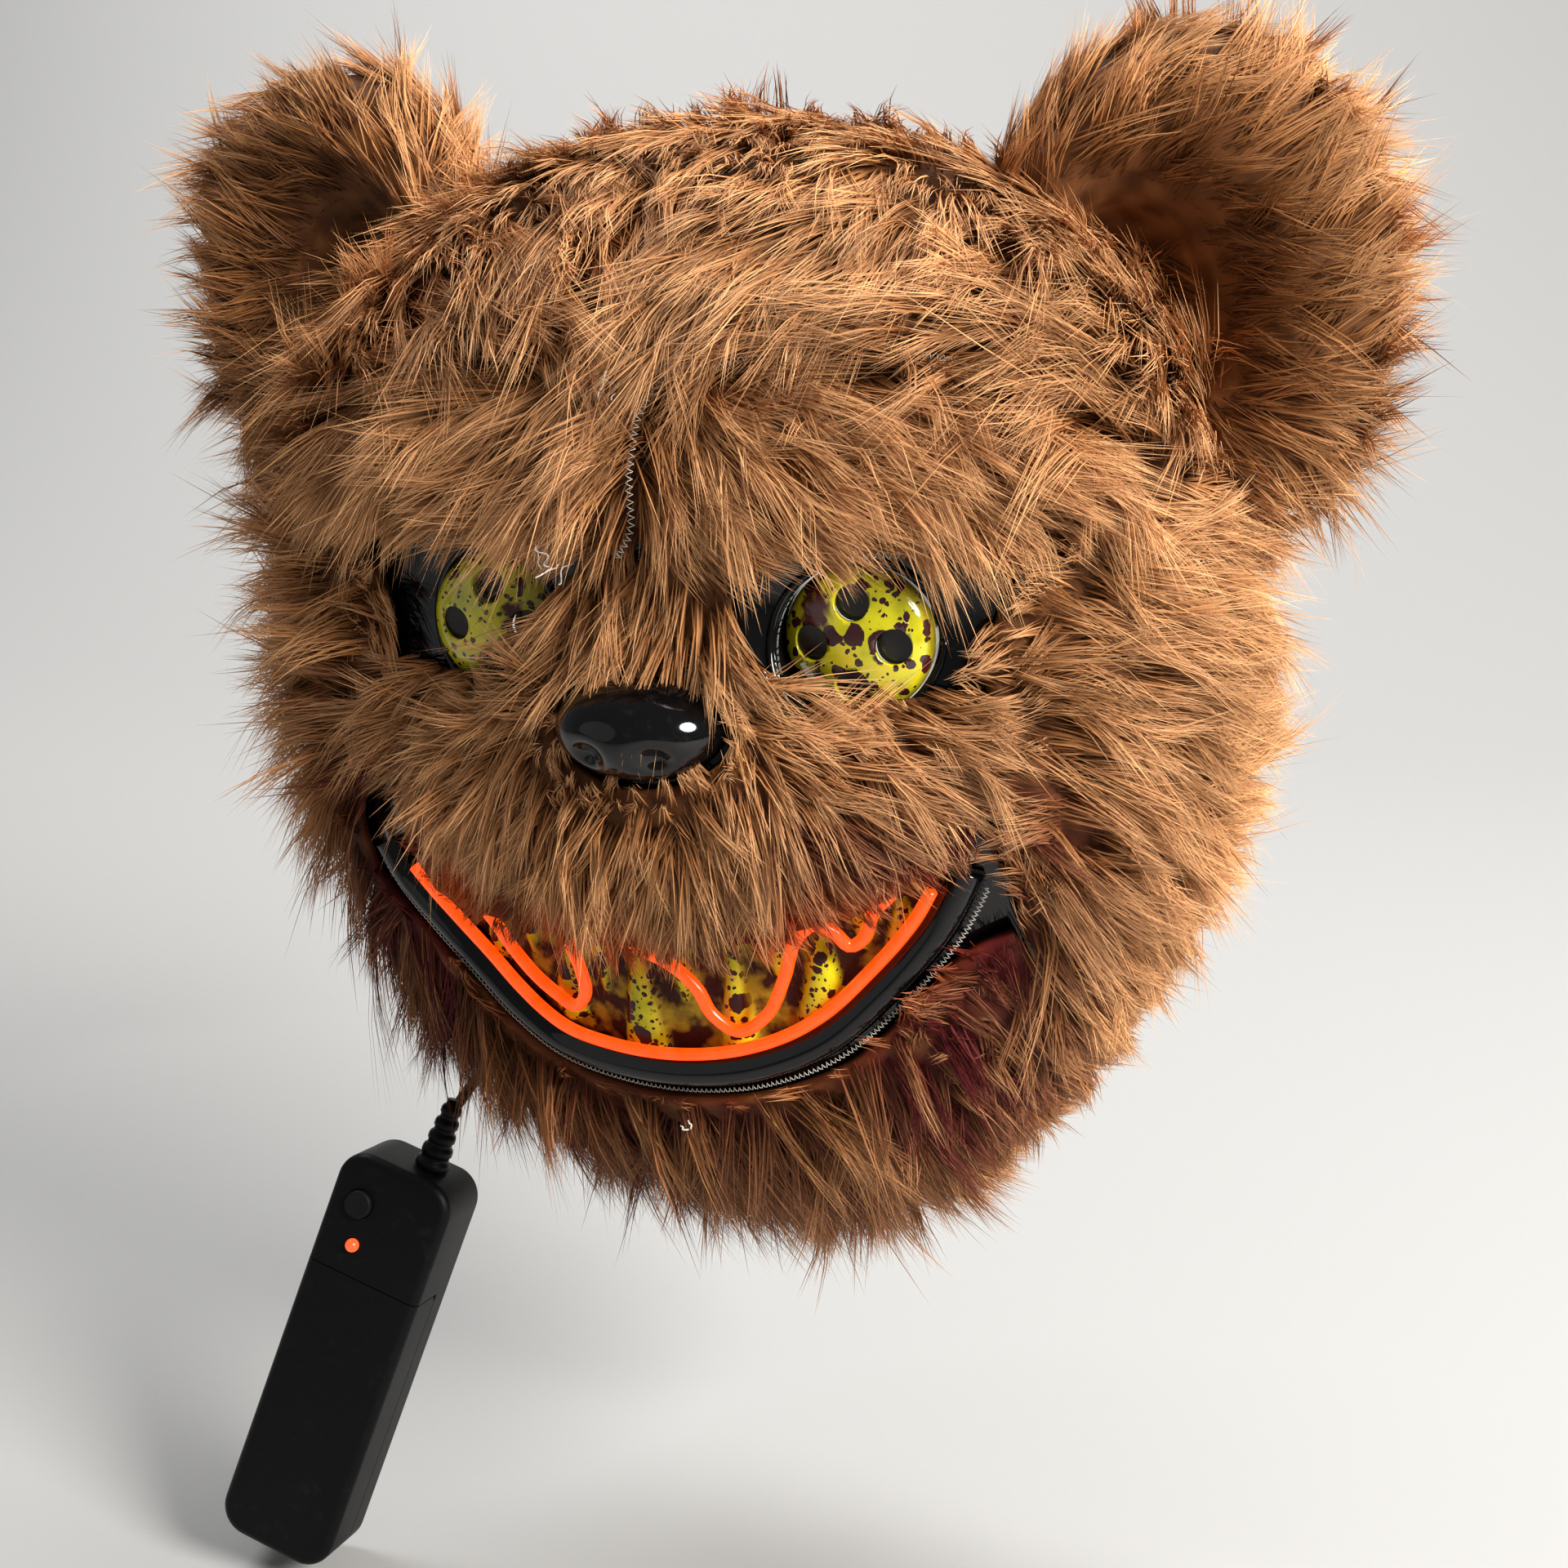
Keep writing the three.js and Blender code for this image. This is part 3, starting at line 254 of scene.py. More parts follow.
def paint(obj, key, values):  # a value for each vertex, for the materials
    layer = obj.data.attributes.new(key, "FLOAT", "POINT")
    layer.data.foreach_set("value", np.asarray(values).astype(np.float32))


def facePlaces(obj):  # a piece's vertices in face millimetres
    co = np.empty(len(obj.data.vertices) * 3, np.float32)
    obj.data.vertices.foreach_get("co", co)
    return co.reshape(-1, 3) / mm - shift


def smoothed(obj):
    obj.data.polygons.foreach_set("use_smooth", np.full(len(obj.data.polygons), True))
    return obj


def applyModifiers(obj):
    view = bpy.context.evaluated_depsgraph_get()
    mesh = bpy.data.meshes.new_from_object(obj.evaluated_get(view))
    obj.modifiers.clear()
    obj.data = mesh
    return obj


def carve(obj, cutter, operation="DIFFERENCE"):
    cut = obj.modifiers.new("cut", "BOOLEAN")
    cut.operation = operation
    cut.solver = "EXACT"
    cut.object = cutter
    applyModifiers(obj)
    bpy.data.objects.remove(cutter)
    return obj


def prism(outline, lowY, highY):  # an outline in X and Z made a rod along Y
    outline = np.asarray(outline, float)
    n = len(outline)
    bm = bmesh.new()
    low = [bm.verts.new(p) for p in toFrame(np.insert(outline, 1, lowY, axis=1))]
    high = [bm.verts.new(p) for p in toFrame(np.insert(outline, 1, highY, axis=1))]
    bm.faces.new(low)
    bm.faces.new(high[::-1])
    for i in range(n):
        bm.faces.new([low[i], high[i], high[(i + 1) % n], low[(i + 1) % n]])
    bmesh.ops.recalc_face_normals(bm, faces=bm.faces)
    mesh = bpy.data.meshes.new("cutter")
    bm.to_mesh(mesh)
    bm.free()
    obj = bpy.data.objects.new("cutter", mesh)
    bpy.context.scene.collection.objects.link(obj)
    return obj


def circle(x, z, radius, count):
    angle = np.linspace(0, 2 * math.pi, count, endpoint=False)
    return np.stack([x + radius * np.cos(angle), z + radius * np.sin(angle)], -1)


def tubeAlong(name, path, radius, sides=12, cap=True, **more):  # a round section carried along the points
    path = np.asarray(path, float)
    n = len(path)
    radius = np.broadcast_to(np.asarray(radius, float), (n,))
    tangent = unit(np.gradient(path, axis=0))
    normal = np.zeros((n, 3))
    first = np.cross(tangent[0], [0.0, 0.3, 1.0])
    normal[0] = first / np.linalg.norm(first)
    for i in range(1, n):
        v = normal[i - 1] - tangent[i] * (normal[i - 1] @ tangent[i])
        normal[i] = v / np.linalg.norm(v)
    other = np.cross(tangent, normal)
    angle = np.linspace(0, 2 * math.pi, sides, endpoint=False)
    ring = normal[:, None] * np.cos(angle)[None, :, None] + other[:, None] * np.sin(angle)[None, :, None]
    points = path[:, None] + ring * radius[:, None, None]
    quads = gridFaces(n, sides, True)
    points = points.reshape(-1, 3)
    tris = []
    if cap:
        points = np.concatenate([points, path[:1], path[-1:]])
        j = np.arange(sides)
        last = (n - 1) * sides
        tris = np.concatenate([
            np.stack([np.full(sides, n * sides), (j + 1) % sides, j], -1),
            np.stack([np.full(sides, n * sides + 1), last + j, last + (j + 1) % sides], -1)])
    return tidy(meshFrom(name, points, quads, tris, **more))


def lathe(name, profile, place, sides=64, **more):  # (radius, height) pairs turned about a line
    profile = np.asarray(profile, float)
    angle = np.linspace(0, 2 * math.pi, sides, endpoint=False)
    r, h = profile[:, :1], profile[:, 1:]
    local = np.stack([r * np.cos(angle), r * np.sin(angle), np.broadcast_to(h, (len(profile), sides))], -1)
    return tidy(meshFrom(name, place(local).reshape(-1, 3), gridFaces(len(profile), sides, True), **more))


# Camera, lead and floor come first
camera = {"place": (161.5, -452.2, 97.75), "yaw": 20.0, "pitch": 18.0, "roll": -1.8, "lens": 45.0, "sensor": 36.0}
yaw, pitch, roll = (math.radians(camera[k]) for k in ("yaw", "pitch", "roll"))
back = np.array([math.sin(yaw) * math.cos(pitch), -math.cos(yaw) * math.cos(pitch), math.sin(pitch)])
right = np.array([math.cos(yaw), math.sin(yaw), 0.0])
up = np.cross(back, right)
tiltedRight = right * math.cos(roll) + up * math.sin(roll)
tiltedUp = up * math.cos(roll) - right * math.sin(roll)
lens = bpy.data.cameras.new("camera")
lens.lens, lens.sensor_width, lens.clip_start = camera["lens"], camera["sensor"], 0.01
viewer = bpy.data.objects.new("camera", lens)
bpy.context.scene.collection.objects.link(viewer)
basis = Matrix(np.stack([tiltedRight, tiltedUp, back], 1).tolist()).to_4x4()
viewer.matrix_world = Matrix.Translation(toFrame(camera["place"])) @ basis
bpy.context.scene.camera = viewer

lead = {
    "radius": 1.5, "gland": (-63.0, -92.0), "glandLength": 6.0, "glandRadius": 5.0,
    "route": [[-71, -6, -103], [-76, 7, -112], [-80, 8, -123], [-82, -8, -132], [-82, -28, -137], [-83.5, -41, -142]],
}


def glandPoint(inward):
    spot = spotAt(*lead["gland"])
    return lifted(spot, -face["wall"] - lip["gap"] - inward)


leadPoints = np.array([glandPoint(lead["glandLength"] + lip["gap"]), glandPoint(2 * lead["glandLength"])]
                      + [np.array(p, float) for p in lead["route"]])


def centripetal(points, count):  # Catmull-Rom with root-of-distance knots, spaced evenly along its length
    p = np.asarray(points, float)
    p = np.concatenate([[2 * p[0] - p[1]], p, [2 * p[-1] - p[-2]]])
    out = []
    for i in range(1, len(p) - 2):
        knots = np.concatenate([[0], np.cumsum(np.linalg.norm(np.diff(p[i - 1:i + 3], axis=0), axis=1) ** 0.5)])
        t = np.linspace(knots[1], knots[2], 40, endpoint=False)[:, None]
        a = [(knots[k + 1] - t) / (knots[k + 1] - knots[k]) * p[i - 1 + k]
             + (t - knots[k]) / (knots[k + 1] - knots[k]) * p[i + k] for k in range(3)]
        b = [(knots[k + 2] - t) / (knots[k + 2] - knots[k]) * a[k]
             + (t - knots[k]) / (knots[k + 2] - knots[k]) * a[k + 1] for k in range(2)]
        out.append((knots[2] - t) / (knots[2] - knots[1]) * b[0] + (t - knots[1]) / (knots[2] - knots[1]) * b[1])
    out = np.concatenate(out + [p[-2:-1]])
    run = np.concatenate([[0], np.cumsum(np.linalg.norm(np.diff(out, axis=0), axis=1))])
    at = np.linspace(0, run[-1], count)
    return np.stack([np.interp(at, run, out[:, k]) for k in range(3)], -1)


leadPath = centripetal(leadPoints, 72)
leadPiece = tubeAlong("lead_cord", leadPath, lead["radius"], 14)
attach(leadPiece, "root")
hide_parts("lead")

# The floor, in metres: flat, then a quarter round up into a wall behind
stage = {"below": 0.003, "front": -3.0, "flatTo": 0.8, "radius": 1.1, "top": 3.2, "halfWidth": 4.0}
floorLevel = cadBounds[0][2] - stage["below"]
bend = np.linspace(0, math.pi / 2, 34)[:, None]
curve = np.concatenate([stage["flatTo"] + stage["radius"] * np.sin(bend), stage["radius"] * (1 - np.cos(bend))], 1)
wallAt = stage["flatTo"] + stage["radius"]
sweepPoints = np.concatenate([[[stage["front"], 0.0], [0.3, 0.0]], curve, [[wallAt, 1.8], [wallAt, stage["top"]]]])
across = np.linspace(-stage["halfWidth"], stage["halfWidth"], 3)
stagePoints = np.array([[[x, y, z + floorLevel] for x in across] for y, z in sweepPoints])
floor = meshFrom("floor", stagePoints.reshape(-1, 3), gridFaces(len(sweepPoints), 3), inFrame=True)
print("camera, lead and floor made")


# Materials
def newMaterial(name):
    material = bpy.data.materials.new(name)
    material.use_nodes = True
    tree = material.node_tree
    return material, tree, tree.nodes["Principled BSDF"]


def addNode(tree, kind, inputs=None, **settings):
    item = tree.nodes.new(kind)
    for key, value in settings.items():
        setattr(item, key, value)
    for key, value in (inputs or {}).items():
        socket = item.inputs[key]
        if isinstance(value, bpy.types.NodeSocket):
            tree.links.new(value, socket)
        else:
            socket.default_value = value
    return item


def attribute(tree, name):
    return addNode(tree, "ShaderNodeAttribute", attribute_name=name).outputs["Fac"]


def ramp(tree, value, stops):
    item = addNode(tree, "ShaderNodeValToRGB", {"Fac": value})
    item.color_ramp.interpolation = "LINEAR"
    while len(item.color_ramp.elements) < len(stops):
        item.color_ramp.elements.new(0.5)
    for element, (at, colour) in zip(item.color_ramp.elements, stops):
        element.position = at
        element.color = (*colour, 1) if len(colour) == 3 else colour
    return item.outputs["Color"]


def mixColour(tree, factor, a, b, kind="MIX"):
    item = addNode(tree, "ShaderNodeMix", data_type="RGBA", blend_type=kind)
    for key, value in ((0, factor), (6, a), (7, b)):
        if isinstance(value, bpy.types.NodeSocket):
            tree.links.new(value, item.inputs[key])
        else:
            item.inputs[key].default_value = value if key == 0 else (*value, 1)
    return item.outputs[2]


def mathNode(tree, operation, a, b=0.0, clamp=False):
    item = addNode(tree, "ShaderNodeMath", operation=operation, use_clamp=clamp)
    for key, value in enumerate((a, b)):
        if isinstance(value, bpy.types.NodeSocket):
            tree.links.new(value, item.inputs[key])
        else:
            item.inputs[key].default_value = value
    return item.outputs[0]


def makeGroup(name, inputs, outputs, build):
    group = bpy.data.node_groups.new(name, "ShaderNodeTree")
    for key, kind, value in inputs:
        socket = group.interface.new_socket(key, in_out="INPUT", socket_type=kind)
        socket.default_value = value
    for key, kind in outputs:
        group.interface.new_socket(key, in_out="OUTPUT", socket_type=kind)
    entry, end = group.nodes.new("NodeGroupInput"), group.nodes.new("NodeGroupOutput")
    build(group, entry.outputs, end.inputs)
    return group


def useGroup(tree, group, inputs):
    item = tree.nodes.new("ShaderNodeGroup")
    item.node_tree = group
    for key, value in inputs.items():
        if isinstance(value, bpy.types.NodeSocket):
            tree.links.new(value, item.inputs[key])
        else:
            item.inputs[key].default_value = value
    return item.outputs


def objectPlace(tree):
    return addNode(tree, "ShaderNodeTexCoord").outputs["Object"]


def buildSpatter(group, entry, end):  # round drops of two sizes with ragged edges
    place = objectPlace(group)
    wobble = addNode(group, "ShaderNodeTexNoise", {"Vector": place, "Scale": 420.0, "Detail": 2.0})
    moved = addNode(group, "ShaderNodeVectorMath", {0: wobble.outputs["Color"], 1: (0.0016, 0.0016, 0.0016)},
                    operation="MULTIPLY")
    around = addNode(group, "ShaderNodeVectorMath", {0: place, 1: moved.outputs[0]}, operation="ADD")
    drops = []
    for scale, size in ((200.0, 0.5), (400.0, 0.52), (760.0, 0.42)):
        cell = addNode(group, "ShaderNodeTexVoronoi", {"Vector": around.outputs[0], "Scale": scale})
        wild = addNode(group, "ShaderNodeSeparateColor", {"Color": cell.outputs["Color"]})
        chance = mathNode(group, "MULTIPLY", wild.outputs[0], wild.outputs[1])
        limit = mathNode(group, "MULTIPLY", mathNode(group, "MULTIPLY", chance, size * 1.6), entry["Amount"])
        inside = mathNode(group, "SUBTRACT", limit, cell.outputs["Distance"])
        drops.append(mathNode(group, "MULTIPLY", inside, 30.0, True))
    mask = mathNode(group, "MAXIMUM", mathNode(group, "MAXIMUM", drops[0], drops[1]), drops[2])
    group.links.new(mask, end["Mask"])


spatterGroup = makeGroup("spatterDrops", [("Amount", "NodeSocketFloat", 1.0)], [("Mask", "NodeSocketFloat")],
                         buildSpatter)


def buildWear(group, entry, end):  # fine dust and rubbed patches on a plastic
    place = objectPlace(group)
    dust = addNode(group, "ShaderNodeTexNoise", {"Vector": place, "Scale": entry["Scale"], "Detail": 6.0,
                                                 "Roughness": 0.7})
    patch = addNode(group, "ShaderNodeTexNoise", {"Vector": place, "Scale": 22.0, "Detail": 3.0})
    speck = ramp(group, dust.outputs["Fac"], [(0.56, (0, 0, 0)), (0.72, (1, 1, 1))])
    mask = mathNode(group, "MULTIPLY", speck, patch.outputs["Fac"], True)
    group.links.new(mask, end["Mask"])
    group.links.new(patch.outputs["Fac"], end["Patch"])


wearGroup = makeGroup("plasticWear", [("Scale", "NodeSocketFloat", 260.0)],
                      [("Mask", "NodeSocketFloat"), ("Patch", "NodeSocketFloat")], buildWear)


# The pile's colours. The dark root colour is painted shade deep in the pile.
pileLook = {
    "root": (0.09, 0.03, 0.008), "middle": (0.4, 0.175, 0.062), "tip": (0.76, 0.44, 0.22),
    # glow is the wire's orange light painted onto the pile
    "stain": (0.085, 0.008, 0.008), "glow": (1.0, 0.13, 0.01), "roughness": 0.6, "specular": 0.15,
}


def furMaterial(name, look):
    material, tree, bsdf = newMaterial(name)
    along = attribute(tree, "along")
    shade = attribute(tree, "shade")
    # Dark at the root as painted shade deep in the pile, lighter towards the tip
    body = ramp(tree, along, [(0.0, look["root"]), (0.35, look["middle"]), (1.0, look["tip"])])
    lighter = mixColour(tree, 1.0, body, (1.35, 1.3, 1.22), "MULTIPLY")
    darker = mixColour(tree, 1.0, body, (0.5, 0.44, 0.38), "MULTIPLY")
    varied = mixColour(tree, shade, darker, lighter)
    # stain: red stains, and painted shade in the gap at the left of the muzzle
    stained = mixColour(tree, attribute(tree, "stain"), varied, look["stain"])
    # The wire's orange light painted onto the pile's colour
    lit = mixColour(tree, attribute(tree, "glow"), stained, look["glow"])
    tree.links.new(lit, bsdf.inputs["Base Color"])
    bsdf.inputs["Roughness"].default_value = look["roughness"]
    bsdf.inputs["Specular IOR Level"].default_value = look["specular"]
    return material


def glossBlack():
    material, tree, bsdf = newMaterial("glossBlackShell")
    wear = useGroup(tree, wearGroup, {"Scale": 380.0})
    colour = mixColour(tree, wear["Mask"], (0.002, 0.002, 0.0023), (0.012, 0.011, 0.01))
    tree.links.new(colour, bsdf.inputs["Base Color"])
    rough = mathNode(tree, "ADD", 0.08, mathNode(tree, "MULTIPLY", wear["Mask"], 0.14))
    tree.links.new(rough, bsdf.inputs["Roughness"])
    ripple = addNode(tree, "ShaderNodeTexNoise", {"Vector": objectPlace(tree), "Scale": 90.0, "Detail": 3.0})
    bump = addNode(tree, "ShaderNodeBump", {"Strength": 0.12, "Distance": 0.0006, "Height": ripple.outputs["Fac"]})
    tree.links.new(bump.outputs[0], bsdf.inputs["Normal"])
    bsdf.inputs["Specular IOR Level"].default_value = 0.25
    bsdf.inputs["Coat Weight"].default_value = 0.35
    bsdf.inputs["Coat Roughness"].default_value = 0.06
    return material


def yellowGloss(name, ground, amount, useTooth):
    material, tree, bsdf = newMaterial(name)
    place = objectPlace(tree)
    tone = addNode(tree, "ShaderNodeTexNoise", {"Vector": place, "Scale": 130.0, "Detail": 4.0})
    yellow = ramp(tree, tone.outputs["Fac"], [(0.3, (0.38, 0.36, 0.006)), (0.5, (0.58, 0.53, 0.01)),
                                              (0.72, (0.7, 0.54, 0.018))])
    drops = useGroup(tree, spatterGroup, {"Amount": amount})["Mask"]
    colour = mixColour(tree, drops, yellow, (0.035, 0.006, 0.006))
    colour = mixColour(tree, attribute(tree, "stain"), colour, (0.07, 0.008, 0.008))
    rough = mathNode(tree, "ADD", 0.12, mathNode(tree, "MULTIPLY", drops, 0.12))
    if useTooth:
        onTooth = attribute(tree, "tooth")
        mottle = addNode(tree, "ShaderNodeTexNoise", {"Vector": place, "Scale": 150.0, "Detail": 3.0})
        between = ramp(tree, mottle.outputs["Fac"], [(0.46, ground), (0.62, (0.34, 0.25, 0.012))])
        colour = mixColour(tree, onTooth, between, colour)
        offTooth = mathNode(tree, "SUBTRACT", 1.0, onTooth)
        rough = mathNode(tree, "ADD", rough, mathNode(tree, "MULTIPLY", offTooth, 0.4))
    tree.links.new(colour, bsdf.inputs["Base Color"])
    tree.links.new(rough, bsdf.inputs["Roughness"])
    bump = addNode(tree, "ShaderNodeBump", {"Strength": 0.5, "Distance": 0.0002, "Height": drops})
    tree.links.new(bump.outputs[0], bsdf.inputs["Normal"])
    bsdf.inputs["Specular IOR Level"].default_value = 0.2 if useTooth else 0.5
    bsdf.inputs["Coat Weight"].default_value = 0.0 if useTooth else 0.6
    bsdf.inputs["Coat Roughness"].default_value = 0.05
    return material


def glowing(name, colour, light, strength):
    material, tree, bsdf = newMaterial(name)
    place = objectPlace(tree)
    tone = addNode(tree, "ShaderNodeTexNoise", {"Vector": place, "Scale": 240.0, "Detail": 2.0})
    lit = ramp(tree, tone.outputs["Fac"], [(0.3, light), (0.7, tuple(min(1, c * 1.2 + 0.01) for c in light))])
    tree.links.new(lit, bsdf.inputs["Emission Color"])
    bsdf.inputs["Base Color"].default_value = (*colour, 1)
    bsdf.inputs["Emission Strength"].default_value = strength
    bsdf.inputs["Roughness"].default_value = 0.25
    return material


def mattBlack(name, base, roughness, grain, strength):
    material, tree, bsdf = newMaterial(name)
    wear = useGroup(tree, wearGroup, {"Scale": 180.0})
    colour = mixColour(tree, wear["Mask"], base, tuple(min(1, c * 2.6 + 0.004) for c in base))
    tree.links.new(colour, bsdf.inputs["Base Color"])
    rough = mathNode(tree, "ADD", roughness - 0.06, mathNode(tree, "MULTIPLY", wear["Patch"], 0.14))
    tree.links.new(rough, bsdf.inputs["Roughness"])
    fine = addNode(tree, "ShaderNodeTexNoise", {"Vector": objectPlace(tree), "Scale": grain, "Detail": 2.0})
    bump = addNode(tree, "ShaderNodeBump", {"Strength": strength, "Distance": 0.0002, "Height": fine.outputs["Fac"]})
    tree.links.new(bump.outputs[0], bsdf.inputs["Normal"])
    bsdf.inputs["Specular IOR Level"].default_value = 0.12
    return material


def shadeFilmMaterial():
    # A dark sheet behind the peepholes: painted shade that stands in for the shaded inside of the worn mask
    material, tree, bsdf = newMaterial("paintedShadeFilm")
    haze = addNode(tree, "ShaderNodeTexNoise", {"Vector": objectPlace(tree), "Scale": 300.0, "Detail": 3.0})
    shadeTint = ramp(tree, haze.outputs["Fac"], [(0.3, (0.004, 0.004, 0.004)), (0.75, (0.02, 0.018, 0.014))])
    tree.links.new(shadeTint, bsdf.inputs["Base Color"])
    bsdf.inputs["Roughness"].default_value = 0.18
    bsdf.inputs["Alpha"].default_value = 0.93
    return material


def threadLook(name, colour, second):
    material, tree, bsdf = newMaterial(name)
    tone = addNode(tree, "ShaderNodeTexNoise", {"Vector": objectPlace(tree), "Scale": 900.0, "Detail": 2.0})
    mixed = mixColour(tree, tone.outputs["Fac"], colour, second)
    tree.links.new(mixed, bsdf.inputs["Base Color"])
    twist = addNode(tree, "ShaderNodeTexWave", {"Vector": objectPlace(tree), "Scale": 700.0, "Distortion": 2.0})
    bump = addNode(tree, "ShaderNodeBump", {"Strength": 0.5, "Distance": 0.0002, "Height": twist.outputs["Fac"]})
    tree.links.new(bump.outputs[0], bsdf.inputs["Normal"])
    bsdf.inputs["Roughness"].default_value = 0.75
    return material


furLook = furMaterial("brownPile", pileLook)
shellLook = glossBlack()
eyeLook = yellowGloss("spatteredEye", (0, 0, 0), 1.0, False)
toothLook = yellowGloss("spatteredFang", (0.035, 0.007, 0.003), 1.25, True)
wireLook = glowing("litWire", (0.5, 0.03, 0.0), (1.0, 0.062, 0.0), 1.25)
lampLook = glowing("litLamp", (0.6, 0.04, 0.01), (1.0, 0.06, 0.01), 1.8)
packLook = mattBlack("packPlastic", (0.0025, 0.0027, 0.003), 0.44, 1500.0, 0.22)
buttonLook = mattBlack("buttonPlastic", (0.006, 0.006, 0.0065), 0.5, 1200.0, 0.15)
rubberLook = mattBlack("leadRubber", (0.005, 0.005, 0.005), 0.38, 900.0, 0.1)
threadWhite = threadLook("paleThread", (0.55, 0.5, 0.43), (0.78, 0.73, 0.65))
elasticLook = threadLook("wovenElastic", (0.008, 0.008, 0.008), (0.022, 0.022, 0.022))
shadeFilmLook = shadeFilmMaterial()
cellLook = mattBlack("cellWrap", (0.2, 0.2, 0.21), 0.3, 600.0, 0.05)


def dress(obj, look, body, slot, *nodes):
    obj.data.materials.clear()
    obj.data.materials.append(look)
    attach(obj, body)
    if nodes:
        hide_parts(*nodes)
    return obj


dress(leadPiece, rubberLook, "root", "black_rubber")
floorLook, _, floorShader = newMaterial("paleFloor")
floorShader.inputs["Base Color"].default_value = (0.38, 0.378, 0.372, 1)
floorShader.inputs["Roughness"].default_value = 0.85
floor.data.materials.append(floorLook)
print("materials made")


# Hard shell with its openings
def seatY():
    return float(facePoint(spotAt(eye["spacing"] / 2, 0.0))[1])


def lipLine(inward, share):
    foot = shareToXZ(edges["lipFoot"])
    step = 1e-3
    point = spline(foot, share)
    tangent = unit(spline(foot, np.minimum(share + step, 1)) - spline(foot, np.maximum(share - step, 0)))
    return point + np.stack([-tangent[..., 1], tangent[..., 0]], -1) * inward


def mouthOutline(count=48):
    t = np.linspace(0, 1, count)
    lower = lipLine(lip["width"], 0.04 + 0.92 * t)
    upper = spline(shareToXZ(edges["mouthTop"]), 0.06 + 0.88 * t[::-1])
    return np.concatenate([lower, upper])


shellGrid = {"rings": 54, "spokes": 144}
tilt = np.maximum(1e-4, np.linspace(0, 1, shellGrid["rings"]) * face["rim"])[:, None]
turn = np.linspace(0, 2 * math.pi, shellGrid["spokes"], endpoint=False)[None]
shellSpots = np.stack([tilt * np.cos(turn), tilt * np.sin(turn)], -1)
shellPiece = closedSheet("shell_skin", lifted(shellSpots, 0.0), lifted(shellSpots, -face["wall"]), True)
for side in (-1, 1):
    carve(shellPiece, prism(circle(side * eye["spacing"] / 2, 0, eye["radius"] + 0.25, 72), -120, 0))
carve(shellPiece, prism(mouthOutline(), -120, 0))
dress(smoothed(shellPiece), shellLook, "root", "black_gloss", "mask_shell")
print("shell made")

# A sleeve round each eye opening, from the shell's face back past the foot of the dome
sleeve = {"outer": 17.8, "inner": 16.25, "reach": 7.0}
for side, name in ((-1, "left"), (1, "right")):
    outerRing = circle(side * eye["spacing"] / 2, 0, sleeve["outer"], 90)
    innerRing = circle(side * eye["spacing"] / 2, 0, sleeve["inner"], 90)
    behind = seatY() + sleeve["reach"]
    outerFoot, innerFoot = (np.insert(ring, 1, behind, axis=1) for ring in (outerRing, innerRing))
    section = [outerFoot, facePoint(spotAt(outerRing[:, 0], outerRing[:, 1])),
               facePoint(spotAt(innerRing[:, 0], innerRing[:, 1])), innerFoot, outerFoot]
    sleevePiece = meshFrom(f"eye_sleeve_{name}", np.concatenate(section), gridFaces(5, 90, True), smooth=False)
    dress(tidy(sleevePiece), shellLook, "root", "black_gloss")

# The rims of the eye openings, a thin rolled edge each
for side, name in ((-1, "left"), (1, "right")):
    around = circle(side * eye["spacing"] / 2, 0, eye["radius"] + 1.3, 90)
    rimPath = lifted(spotAt(around[:, 0], around[:, 1]), np.full(90, 0.25))
    dress(tubeAlong(f"eye_rim_{name}", np.concatenate([rimPath, rimPath[:1]]), 0.9, 10), shellLook, "root",
          "black_gloss")

